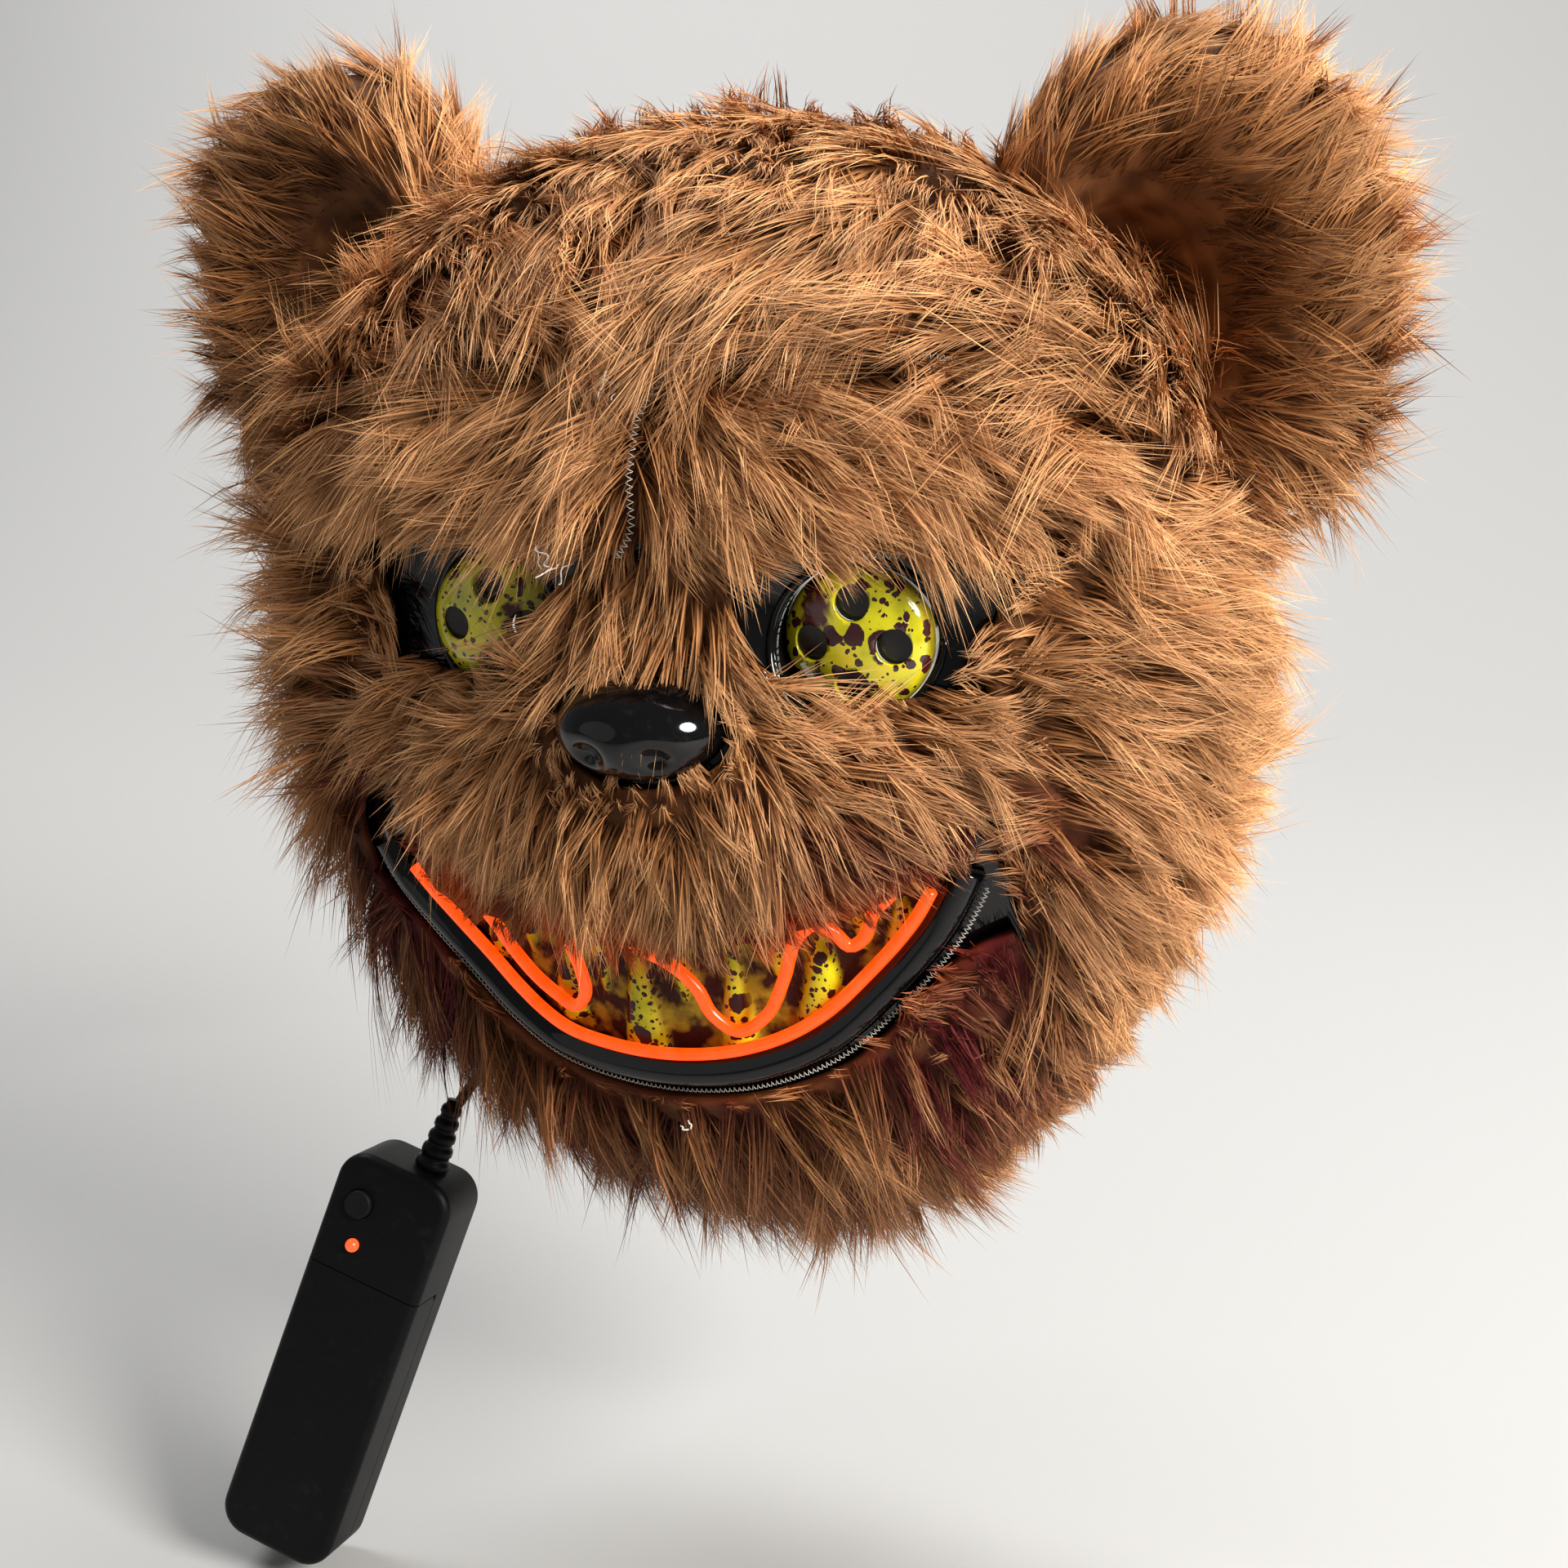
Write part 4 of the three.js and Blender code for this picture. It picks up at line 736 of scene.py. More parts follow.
# Eye domes: a shallow dome on a straight skirt, with four peepholes and a dark film behind each, painted shade
# standing in for the shaded inside of the worn mask
eyeBlots = {-1: (6, 3, 3.6, 3.4), 1: (-8.0, 7.0, 4.2, 6.0)}  # a dark splash on each: centre and spread
shadeFilm = {"lap": 0.4, "inside": 0.2, "thickness": 0.3}
for side, name in ((-1, "left"), (1, "right")):
    arc = np.linspace(0, math.pi / 2, 18)
    innerRadius, innerRise = eye["radius"] - eye["wall"], eye["rise"] - eye["wall"]
    outer = [(eye["radius"], -eye["skirt"])] + [(eye["radius"] * math.cos(a), eye["rise"] * math.sin(a)) for a in arc]
    inner = [(innerRadius * math.cos(a), innerRise * math.sin(a)) for a in arc]
    profile = outer + inner[::-1] + [(innerRadius, -eye["skirt"]), (eye["radius"], -eye["skirt"])]
    centre = np.array([side * eye["spacing"] / 2, seatY(), 0.0])

    def domePlace(p, centre=centre):
        return centre + np.stack([p[..., 0], -p[..., 2], p[..., 1]], -1)

    dome = lathe(f"eye_{name}", profile, domePlace, 96)
    holeSpots = [(centre[0] + eye["reach"] * math.cos(a), eye["reach"] * math.sin(a))
                 for a in (0.0, math.pi / 2, math.pi, math.pi * 1.5)]
    for x, z in holeSpots:
        carve(dome, prism(circle(x, z, eye["hole"], 40), centre[1] - 20, centre[1] + 2 * eye["skirt"]))
    local = facePlaces(dome)[:, [0, 2]] - centre[[0, 2]]
    blotX, blotZ, wide, high = eyeBlots[side]
    patch = np.exp(-((local[:, 0] - blotX) / wide) ** 2 - ((local[:, 1] - blotZ) / high) ** 2)
    patch = patch * (1 + 0.35 * np.sin(local[:, 0] * 2.1) * np.sin(local[:, 1] * 1.7 + 1))
    edgeDark = np.clip((np.hypot(local[:, 0], local[:, 1]) - eye["radius"] + 1.0) / 0.7, 0, 1) * 0.55
    paint(dome, "stain", np.clip(np.maximum((patch - 0.45) * 6, edgeDark), 0, 1))
    dress(smoothed(dome), eyeLook, "root", "eye_yellow", f"eye_dome_{name}")
    filmY = centre[1] - innerRise * math.sqrt(1 - ((eye["reach"] + eye["hole"]) / innerRadius) ** 2) - shadeFilm["inside"]
    discs = [prism(circle(x, z, eye["hole"] + shadeFilm["lap"], 32), filmY - shadeFilm["thickness"], filmY)
             for x, z in holeSpots]
    with bpy.context.temp_override(active_object=discs[0], selected_editable_objects=discs):
        bpy.ops.object.join()
    discs[0].name = f"peephole_shade_film_{name}"
    dress(discs[0], shadeFilmLook, "root", "black_gloss")

# Nose: a rounded button with two nostrils
rings, spokes = 30, 80
share = np.sin(np.linspace(0, math.pi / 2, rings))[:, None]
turn = np.linspace(0, 2 * math.pi, spokes, endpoint=False)[None]
x = nose["width"] / 2 * share * np.cos(turn)
z = nose["height"] / 2 * share * np.sin(turn)
tip = facePoint(spotAt(0.0, -nose["drop"]))[1] - nose["depth"]
dent = 0.26 * nose["depth"] * np.exp(-((np.abs(x) / nose["width"] - 0.2) / 0.09) ** 2
                                     - ((z / nose["height"] + 0.16) / 0.12) ** 2)
base = lifted(spotAt(x, z - nose["drop"]), np.full(x.shape, plush["backing"]))
y = np.minimum(tip + nose["depth"] * (1 - np.sqrt(1 - share ** 2)) + dent, base[..., 1] - lip["gap"])
nosePiece = closedSheet("nose_button", np.stack([x, y, z - nose["drop"]], -1), base, True)
dress(nosePiece, shellLook, "root", "black_gloss", "nose")

# Lip: a rounded rim along the lower edge of the mouth
rounds, steps = 14, 160
lipTop, lipFoot = [], []
for i in range(rounds + 1):
    line = lipLine(lip["gap"] + (lip["width"] - lip["gap"]) * i / rounds, np.linspace(0, 1, steps))
    spots = spotAt(line[:, 0], line[:, 1])
    height = lip["height"] * math.sin(math.pi * (0.08 + 0.84 * i / rounds)) ** 0.8
    lipTop.append(lifted(spots, np.full(steps, lip["gap"] + height)))
    lipFoot.append(lifted(spots, np.full(steps, lip["gap"])))
lipPiece = closedSheet("lip_bead", np.array(lipTop), np.array(lipFoot))
dress(lipPiece, shellLook, "root", "black_gloss", "lip_rim")
print("eyes, nose and lip made")

# Fangs in relief on their plate
fangs = [  # share across, foot, tip and girth
    (-0.453, -0.52, -0.41, 0.65), (-0.367, -0.38, -0.53, 0.65), (-0.28, -0.61, -0.44, 0.8),
    (-0.193, -0.4, -0.58, 0.65),
    (-0.106, -0.66, -0.43, 1.0), (-0.01, -0.38, -0.57, 0.8), (0.101, -0.635, -0.4, 0.75), (0.188, -0.36, -0.5, 0.65),
    (0.28, -0.57, -0.38, 1.0), (0.367, -0.3, -0.44, 0.65), (0.444, -0.43, -0.31, 0.7),
]
teeth = {"columns": 200, "rows": 64, "margin": 4.0, "radius": 6.58, "rise": 3.4, "behind": 0.5, "wall": 1.0}


def alongFang(flat, fang):  # share along a fang, distance beside its middle and half its width there
    u, foot, tipShare, girth = fang
    a, b = shareToXZ([[u, foot], [u, tipShare]])
    length = np.linalg.norm(b - a)
    axis = (b - a) / length
    share = (flat - a) @ axis / length
    side = (flat - a) @ np.array([-axis[1], axis[0]])
    return share, side, teeth["radius"] * girth * np.clip(1 - share, 0, 1) ** 0.72


t = np.linspace(0, 1, teeth["columns"])
upper = spline(shareToXZ(edges["mouthTop"]), t) + [0, teeth["margin"]]
lowerLine = lipLine(lip["width"] - teeth["margin"], t)
s = np.linspace(0, 1, teeth["rows"])[:, None, None]
flat = upper[None] * (1 - s) + lowerLine[None] * s
plateFront = -face["wall"] - lip["gap"] - teeth["behind"]
height = np.zeros(flat.shape[:2])
for fang in fangs:
    share, side, width = alongFang(flat, fang)
    width = width * np.clip(1 + share * 4, 0, 1) + 1e-6
    bulge = np.sqrt(np.clip(1 - (side / width) ** 2, 0, 1)) * np.minimum(1, width / 3.0)
    bulge = np.where((share < 1) & (share > -0.25), bulge, 0)
    height = np.maximum(height, bulge * teeth["rise"] * (0.75 + 0.25 * fang[3]))
spots = spotAt(flat[..., 0], flat[..., 1])
ends = np.clip(np.minimum(1 - np.abs(2 * t - 1), 0.06) / 0.06, 0, 1)[None]
teethPiece = closedSheet("fang_relief", lifted(spots, plateFront + height * ends),
                         lifted(spots, np.full(height.shape, plateFront - teeth["wall"])))
teethSpots = facePlaces(teethPiece)[:, [0, 2]]
onFang = np.zeros(len(teethSpots))  # 1 on a fang and 0 on the ground between them
for fang in fangs:
    share, side, width = alongFang(teethSpots, fang)
    onFang = np.maximum(onFang, np.clip((width - np.abs(side)) / 0.9, 0, 1) * (share > -0.25))
paint(teethPiece, "tooth", onFang)
paint(teethPiece, "stain", np.zeros(len(onFang)))
dress(teethPiece, toothLook, "root", "fang_yellow", "teeth_plate")
teethPiece.data.materials.append(packLook)  # the plate's inside is bare black
for polygon in teethPiece.data.polygons:
    polygon.material_index = int(polygon.normal.y > 0.25)

# Glow wire
wire = {"radius": 1.5, "lineLift": 2.3, "loopLift": 2.6}
loops = [
    [-0.482, -0.395], [-0.434, -0.43], [-0.386, -0.49], [-0.338, -0.535], [-0.289, -0.565], [-0.246, -0.582],
    [-0.217, -0.55], [-0.224, -0.5], [-0.241, -0.44], [-0.212, -0.4], [-0.154, -0.405], [-0.096, -0.43],
    [-0.019, -0.46], [0.033, -0.505], [0.062, -0.555], [0.114, -0.583], [0.174, -0.545], [0.212, -0.47],
    [0.241, -0.39], [0.28, -0.355], [0.315, -0.37], [0.345, -0.4], [0.375, -0.38], [0.395, -0.33], [0.43, -0.295],
]
line = lipLine(lip["width"] + lip["gap"] + wire["radius"], 0.07 + 0.86 * np.linspace(0, 1, 17))
linePath = centripetal(lifted(spotAt(line[:, 0], line[:, 1]), np.full(17, wire["lineLift"])), 110)
dress(tubeAlong("wire_lower", linePath, wire["radius"], 10), wireLook, "root", "glow_wire", "glow_wire_line")
shares = np.array(loops)
loopPath = centripetal(lifted(chart(shares[:, 0], shares[:, 1]), np.full(len(shares), wire["loopLift"])), 170)
dress(tubeAlong("wire_loops", loopPath, wire["radius"], 10), wireLook, "root", "glow_wire", "glow_wire_fangs")
print("fangs and wire made")


# Pile: sewn backings and their hair
def edgeSpots(stations):
    s = np.array(stations, float)
    return chart(s[:, 0], s[:, 1])


def patchPlace(fromStations, toStations, droop=0.0):
    first, last = edgeSpots(fromStations), edgeSpots(toStations)

    def place(across, along, height):
        start, end = spline(first, across), spline(last, across)
        margin = plush["seam"] / 2 / face["depth"] / np.maximum(np.linalg.norm(start - end, axis=-1), 1e-6)
        s = (margin + (1 - 2 * margin) * along)[..., None]
        point = lifted(start * (1 - s) + end * s, plush["backing"] + height)
        point[..., 2] -= droop * np.sin(math.pi * across) * np.abs(along) * along
        return point

    return place


def muzzlePlace():
    m = np.array(muzzleEdge, float)
    spots = chart(m[:, 0], m[:, 1])
    ring = np.concatenate([spots, m[:, 2:]], 1)

    def place(across, along, height):
        edge = spline(ring, across, True)
        turn = np.arctan2(edge[..., 1], edge[..., 0])
        x = (nose["width"] / 2 + plush["seam"]) * np.cos(turn)
        z = (nose["height"] / 2 + plush["seam"]) * np.sin(turn) - nose["drop"]
        inner = spotAt(x, z)
        outer = edge[..., :2]
        spot = inner + (outer - inner) * (along * 0.985)[..., None]
        return lifted(spot, plush["backing"] + height + plush["muzzleRaise"] * edge[..., 2] * along ** 2)

    return place


ear = {"halfWidth": 46.0, "halfHeight": 58.0, "depth": 34.0, "across": 99.0, "above": 63.0, "back": 12.0,
       "cupShift": -0.4, "lean": 8.0}
earProfile = np.array([[0, 0.36], [0.6, 0.32], [0.9, 0.12], [0.99, -0.18], [0.9, -0.46], [0.7, -0.62], [0.5, -0.5],
                       [0.33, -0.2], [0, 0]])


def earPlace(side):
    def place(across, along, height):  # across goes round the ear, along from the back's middle to the cup's floor
        station = spline(earProfile, along)
        turn = across * 2 * math.pi
        radius = np.maximum(station[..., 0], 0)
        slide = np.where(along > 0.5, ear["cupShift"] * (1 - radius), 0) * np.clip((along - 0.5) * 8, 0, 1)
        scale = 1 + (np.asarray(height) - 9.0) / 52.0
        local = np.stack([side * ear["halfWidth"] * (radius * np.cos(turn) * scale + slide),
                          ear["depth"] * station[..., 1] * scale,
                          ear["halfHeight"] * radius * np.sin(turn) * scale], -1)
        a = side * math.radians(ear["lean"])
        x = local[..., 0] * math.cos(a) - local[..., 1] * math.sin(a)
        y = local[..., 0] * math.sin(a) + local[..., 1] * math.cos(a)
        return np.stack([x + side * ear["across"] - face["lean"], y - ear["back"], local[..., 2] + ear["above"]], -1)

    return place


def smoothNoise(points, scale, seed):  # sums of sines in turned directions, about -1 to 1
    wild = np.random.default_rng(seed)
    value = np.zeros(points.shape[:-1])
    for _ in range(6):
        direction = unit(wild.normal(size=3)) * (2 * math.pi / scale) * wild.uniform(0.6, 1.6)
        value += np.sin(points @ direction + wild.uniform(0, 6.28))
    return value / 2.6


stainsAndGapShade = [  # centre and spread in face X and Z, and strength
    (54, -42, 26, 15, 0.95), (66, -72, 17, 26, 0.75), (60, -100, 24, 26, 0.8), (20, -128, 45, 20, 0.6),
    (-30, -130, 40, 22, 0.6), (-76, -68, 17, 32, 1.4), (36, -60, 32, 9, 0.8), (-75, -98, 16, 18, 0.7),
    (-40, -62, 34, 8, 0.5),
]
# (-76, -68) is painted shade for the gap between the muzzle and the left cheek, tinted red as painted light from the
# wire; the rest are stains


def stainAt(points, ragged):
    value = np.zeros(points.shape[:-1])
    for x, z, dx, dz, strength in stainsAndGapShade:
        away = ((points[..., 0] - x) / dx) ** 2 + ((points[..., 2] - z) / dz) ** 2
        value = np.maximum(value, strength * np.exp(-away))
    return np.clip(value * (1 + 0.7 * ragged), 0, 1) * (points[..., 1] < -20)


# Painted light: this share of the wire's light is painted into the pile's colour
def paintedWireLightAt(points):  # how much of the wire's light falls on the pile
    near = np.full(points.shape[:-1], 1e3)
    for place in np.concatenate([linePath[::7], loopPath[::9]]):
        near = np.minimum(near, np.linalg.norm(points - place, axis=-1))
    return np.clip(1 - (near - 2.0) / 17.0, 0, 1) ** 1.6


# Hair in locks: each lock has a centre line that leaves the backing along the flow, bends down to it and sags.
# A hair starts beside it and closes in on it towards the tip. A hair is a tapering ribbon.
def lockLayout(place, spec, keep, wild):  # the locks' roots, spread evenly, with the directions there
    cells = 70
    a, b = np.meshgrid((np.arange(cells) + 0.5) / cells, (np.arange(cells) + 0.5) / cells)
    step = 0.5 / cells
    zero = np.zeros(a.shape)
    reachAcross = place(a + step, b, zero) - place(a - step, b, zero)
    reachAlong = place(a, b + step, zero) - place(a, b - step, zero)
    area = np.linalg.norm(np.cross(reachAcross, reachAlong), axis=-1).ravel()
    locks = int(area.sum() * spec["locksPerCm2"] / 100)
    cell = wild.choice(cells * cells, size=locks, p=area / area.sum())
    across = (cell % cells + wild.random(locks)) / cells
    along = (cell // cells + wild.random(locks)) / cells
    low, high = spec.get("span", (0.0, 1.0))
    along = low + (high - low) * along
    zero = np.zeros(locks)
    d = 0.004
    root = place(across, along, zero + spec["rootHeight"])
    flow = unit(place(across, along + d, zero) - place(across, along - d, zero))
    acrossDir = unit(place(across + d, along, zero) - place(across - d, along, zero))
    normal = unit(np.cross(acrossDir, flow))
    raised = place(across, along, zero + 1.0) - place(across, along, zero)
    normal = normal * np.sign(np.sum(normal * raised, -1, keepdims=True))
    if "flow" in spec:
        flow = spec["flow"](root, flow, along)
        flow = unit(flow - normal * np.sum(flow * normal, -1, keepdims=True))
    turnShare = spec["fringe"](root) if "fringe" in spec else np.zeros(locks)
    fringe = along < low + turnShare * wild.random(locks)  # short locks turned back over the first edge
    flow[fringe] *= -1
    if keep is not None:
        ok = keep(root)
        return root[ok], flow[ok], normal[ok], along[ok], fringe[ok]
    return root, flow, normal, along, fringe


def hairRibbons(path, wide, width):  # seven points a hair: three pairs that taper and a tip
    taper = np.array([0.8, 1.0, 0.72])
    half = wide[:, :3] * (width[:, None] * taper / 2)[..., None]
    points = np.empty((len(path), 7, 3))
    points[:, 0:6:2] = path[:, :3] - half
    points[:, 1:6:2] = path[:, :3] + half
    points[:, 6] = path[:, 3]
    base = np.arange(len(path))[:, None] * 7
    quads = np.concatenate([base + np.array([[k, k + 1, k + 3, k + 2]]) for k in (0, 2)])
    return points, quads, base + np.array([[4, 5, 6]])


def bakePlaces(along, shade, stain, glow):  # hairs of one colour share a place on the baked picture
    u = np.clip(shade, 0.01, 0.99) * 0.12 + np.floor(np.clip(stain, 0, 0.99) * 4) * 0.125
    u = np.repeat(u[:, None], 7, 1) + np.where(np.arange(7) % 2, 0.0012, 0.0)[None]
    v = (0.02 + along * 0.2) + np.floor(np.clip(glow.max(1), 0, 0.99) * 4)[:, None] * 0.24
    return np.stack([u.ravel(), v.ravel()], -1)


def hairPatch(name, place, spec, keep=None):
    wild = np.random.default_rng(spec["seed"])
    root, flow, normal, along, fringe = lockLayout(place, spec, keep, wild)
    locks = len(root)
    # Painted shade, 0 to 1, darkening the pile where shade falls
    paintedShade = spec["paintedShade"](root, along) if "paintedShade" in spec else np.zeros(locks)
    sideways = np.cross(normal, flow)
    swirl = np.radians(spec["swirl"]) * (smoothNoise(root, 26.0, spec["seed"] + 1) + 0.3 * wild.normal(size=locks))
    flow = flow * np.cos(swirl)[:, None] + sideways * np.sin(swirl)[:, None]
    lift = np.radians(spec["lift"] * (1 + 0.25 * wild.normal(size=locks)))
    lift = lift * (1 + 0.35 * smoothNoise(root, 34.0, spec["seed"] + 2))
    lift = np.maximum(lift, np.radians(spec["leastLift"]))  # no lock sinks into its backing
    start = flow * np.cos(lift)[:, None] + normal * np.sin(lift)[:, None]
    length = spec["length"] * np.clip(1 + 0.22 * wild.normal(size=locks), 0.5, 1.5)
    if "shorten" in spec:
        length = length * spec["shorten"](root, along)
    turnedBack = np.full(locks, 6.0) if "fringeLength" not in spec else spec["fringeLength"](root)
    length = np.where(fringe, np.minimum(length, turnedBack), length)
    sag = flow * 0.25 + np.array([0.0, 0.0, -1.0]) * spec["sag"] - normal * spec["press"]
    curl = unit(sideways) * (wild.normal(size=locks) * spec["curl"])[:, None]
    hairs = np.maximum(3, wild.poisson(spec["hairsPerLock"], size=locks))
    which = np.repeat(np.arange(locks), hairs)
    n = len(which)
    radius = spec["lockRadius"] * np.sqrt(wild.random(n))
    radius = radius * np.clip(1 + 0.3 * wild.normal(size=locks), 0.5, 1.8)[which]
    angle = wild.random(n) * 2 * math.pi
    offset = np.cross(normal, flow)[which]
    offset = offset * (radius * np.cos(angle))[:, None] + flow[which] * (radius * np.sin(angle))[:, None]
    steps = np.array([0, 0.3, 0.64, 1.0])
    ownLength = length[which] * np.clip(1 + 0.14 * wild.normal(size=n), 0.5, 1.5)
    ownCurl = wild.normal(size=(n, 3)) * spec["frizz"]
    close = np.clip(spec["clump"] * (1 + 0.2 * wild.normal(size=n)), 0, 1)
    path = np.empty((n, len(steps), 3))
    for k, at in enumerate(steps):
        centre = start[which] * at + (sag[which] + curl[which]) * at * at
        path[:, k] = (root[which] + centre * ownLength[:, None] + offset * (1 - close * at ** 0.8)[:, None]
                      + ownCurl * (at ** 1.6 * ownLength)[:, None])
    tangent = unit(np.gradient(path, axis=1))
    rollAngle = np.radians(spec["roll"]) * wild.normal(size=n)
    wide = unit(np.cross(tangent, normal[which][:, None]))
    wide = wide * np.cos(rollAngle)[:, None, None] + np.cross(tangent, wide) * np.sin(rollAngle)[:, None, None]
    width = spec["width"] * np.clip(1 + 0.25 * wild.normal(size=n), 0.5, 1.7)
    points, quads, tris = hairRibbons(path, wide, width)
    # Painted shade pulls the colour towards the dark root
    alongHair = np.repeat(steps, 2)[None, :7] * (1 - 0.55 * paintedShade[which])[:, None]
    # Each lock's own tone, lowered by painted shade
    lockShade = 0.5 + 0.17 * smoothNoise(root, 40.0, 5) + 0.15 * wild.normal(size=locks) - 0.4 * paintedShade
    shade = np.clip(lockShade[which] + 0.16 * wild.normal(size=n), 0, 1)
    stain = stainAt(root[which], smoothNoise(root, 14.0, 9)[which] + 0.3 * wild.normal(size=n))
    # The wire's light painted onto the hairs' colour
    glow = paintedWireLightAt(points) * spec.get("glow", 0.0)
    values = {"along": alongHair, "shade": np.repeat(shade[:, None], 7, 1),
              "stain": np.repeat(stain[:, None], 7, 1), "glow": glow}
    obj = meshFrom(name, points.reshape(-1, 3), quads, tris, True, values, bakePlaces(alongHair, shade, stain, glow))
    dress(obj, furLook, "root", "fur")
    print(f"{name}: {locks} locks, {n} hairs, {len(quads) * 2 + len(tris)} triangles")
    return obj


def backing(name, place, node, rows, columns, depth, ring=False):
    # The woven backing with the foot of the pile on it, a thin closed sheet
    a = np.linspace(0, 1, columns, endpoint=not ring)[None].repeat(rows, 0)
    b = np.linspace(0, 1, rows)[:, None].repeat(columns, 1)
    zero = np.zeros(a.shape)
    middle = place(a, b, zero)
    tuft = depth + 0.5 * smoothNoise(middle, 7.0, 3)
    obj = closedSheet(name, place(a, b, tuft), middle, ring)
    co = facePlaces(obj)
    # Painted shade: the backing takes the hairs' dark root colour and a darker tone, so the gaps between locks read
    # as shadow
    paint(obj, "along", np.clip(0.05 + 0.05 * smoothNoise(co, 5.0, 4), 0, 1))
    paint(obj, "shade", np.clip(0.35 + 0.2 * smoothNoise(co, 9.0, 6), 0, 1))
    paint(obj, "stain", np.clip(stainAt(co, smoothNoise(co, 14.0, 9)), 0, 1))
    # The wire's light painted onto the backing's colour
    paint(obj, "glow", np.clip(0.5 * paintedWireLightAt(co), 0, 1))
    dress(obj, furLook, "root", "fur", node)
    return obj


def mirrored(stations):
    return [[-u, w] for u, w in stations]


common = {  # what all the pile shares, angles in degrees
    "rootHeight": 2.6, "swirl": 26.0, "lift": 34.0, "leastLift": 20.0, "length": 21.0, "sag": 0.1, "press": 0.16,
    "curl": 0.24, "frizz": 0.07, "lockRadius": 3.4, "clump": 0.72, "roll": 40.0, "width": 0.29,
    "locksPerCm2": 8.7, "hairsPerLock": 17,
}

crownPlace = patchPlace(edges["crownTop"], edges["crownFoot"])
backing("crown_backing", crownPlace, "crown_plush", 30, 90, 2.4)
hairPatch("crown_hair", crownPlace, {
    **common, "seed": 21, "length": 22.0, "lift": 36.0,
    "shorten": lambda p, along: 1 - 0.4 * np.clip((p[:, 2] - 66) / 26, 0, 1),
    # Painted shade: darker towards the seam with the brows
    "paintedShade": lambda p, along: 0.5 * np.clip((along - 0.88) / 0.1, 0, 1)})
for side, name in ((-1, "left"), (1, "right")):
    turned = mirrored if side < 0 else (lambda stations: stations)
    browPlace = patchPlace(turned(edges["browTop"]), turned(edges["browHem"]))
    backing(f"brow_backing_{name}", browPlace, f"brow_plush_{name}", 30, 60, 2.4)
    hairPatch(f"brow_hair_{name}", browPlace, {
        **common, "seed": 31 + side, "length": 19.0, "lift": 36.0, "sag": 0.04, "press": 0.2, "locksPerCm2": 12.0,
        "flow": lambda root, own, along, k=side: 0.7 * own + np.clip(np.abs(root[:, :1]) / 22, 0.15, 0.9)
        * np.array([[k, 0, 0]]),
        "shorten": lambda p, along: 0.3 + 0.7 * np.clip((p[:, 2] - 17) / 18, 0, 1),
        # Painted shade: darker at the seam along the top edge and down the centre seam
        "paintedShade": lambda p, along: 0.6 * np.maximum(np.clip(1 - along / 0.14, 0, 1), np.exp(-(p[:, 0] / 4) ** 2))})
    word = "Left" if side < 0 else "Right"
    cheekPlace = patchPlace(edges[f"cheekFront{word}"], edges[f"cheekBack{word}"])
    backing(f"cheek_backing_{name}", cheekPlace, f"cheek_plush_{name}", 30, 70, 2.4)
    hairPatch(f"cheek_hair_{name}", cheekPlace, {
        **common, "seed": 41 + side, "length": 21.0 if side < 0 else 17.0, "lift": 40.0 if side < 0 else 32.0,
        "sag": 0.24, "fringe": lambda p: 0.2, "fringeLength": lambda p: np.where(p[:, 2] > -24, 6.0, 13.0),
        "shorten": lambda p, along, k=side: 1 - (k > 0) * 0.55 * np.clip((-55 - p[:, 2]) / 35, 0, 1),
        # Painted shade: the left cheek darker towards the bottom
        "paintedShade": lambda p, along, k=side: 0.5 * (k < 0) * np.clip((-25 - p[:, 2]) / 35, 0, 1)})
muzzle = muzzlePlace()
backing("muzzle_backing", muzzle, "muzzle_plush", 26, 110, 2.2, True)


def muzzleFlow(root, own, along):  # outward and down, and down over the nose from the bridge
    above = np.clip((root[:, 2] + 13) / 12, 0, 1)[:, None] * np.exp(-(root[:, 0] / 24) ** 2)[:, None]
    side = np.sign(root[:, :1]) * np.array([[0.45, 0, 0]])
    return own * (1 - above) + above * (np.array([0.0, 0.0, -1.0]) + side) + np.array([0.0, 0.0, -0.3])


def muzzleLength(p, along):  # short round the eyes and the hem
    eyes = np.clip((np.abs(np.abs(p[:, 0]) - 42) + np.clip(-p[:, 2] - 14, 0, 50) * 2) / 20, 0.28, 1)
    hem = np.clip((p[:, 2] + 70 - 0.006 * (p[:, 0] + 8) ** 2) / 24, 0.26, 1)
    under = np.clip(np.hypot(p[:, 0] / 1.6, p[:, 2] + 16) / 24, 0.5, 1)
    corner = 1 - 0.65 * np.clip((-44 - p[:, 0]) / 14, 0, 1) * np.clip((-36 - p[:, 2]) / 12, 0, 1)
    return np.minimum(np.minimum(eyes, hem), np.where(p[:, 2] > -12, 1.15, under)) * corner


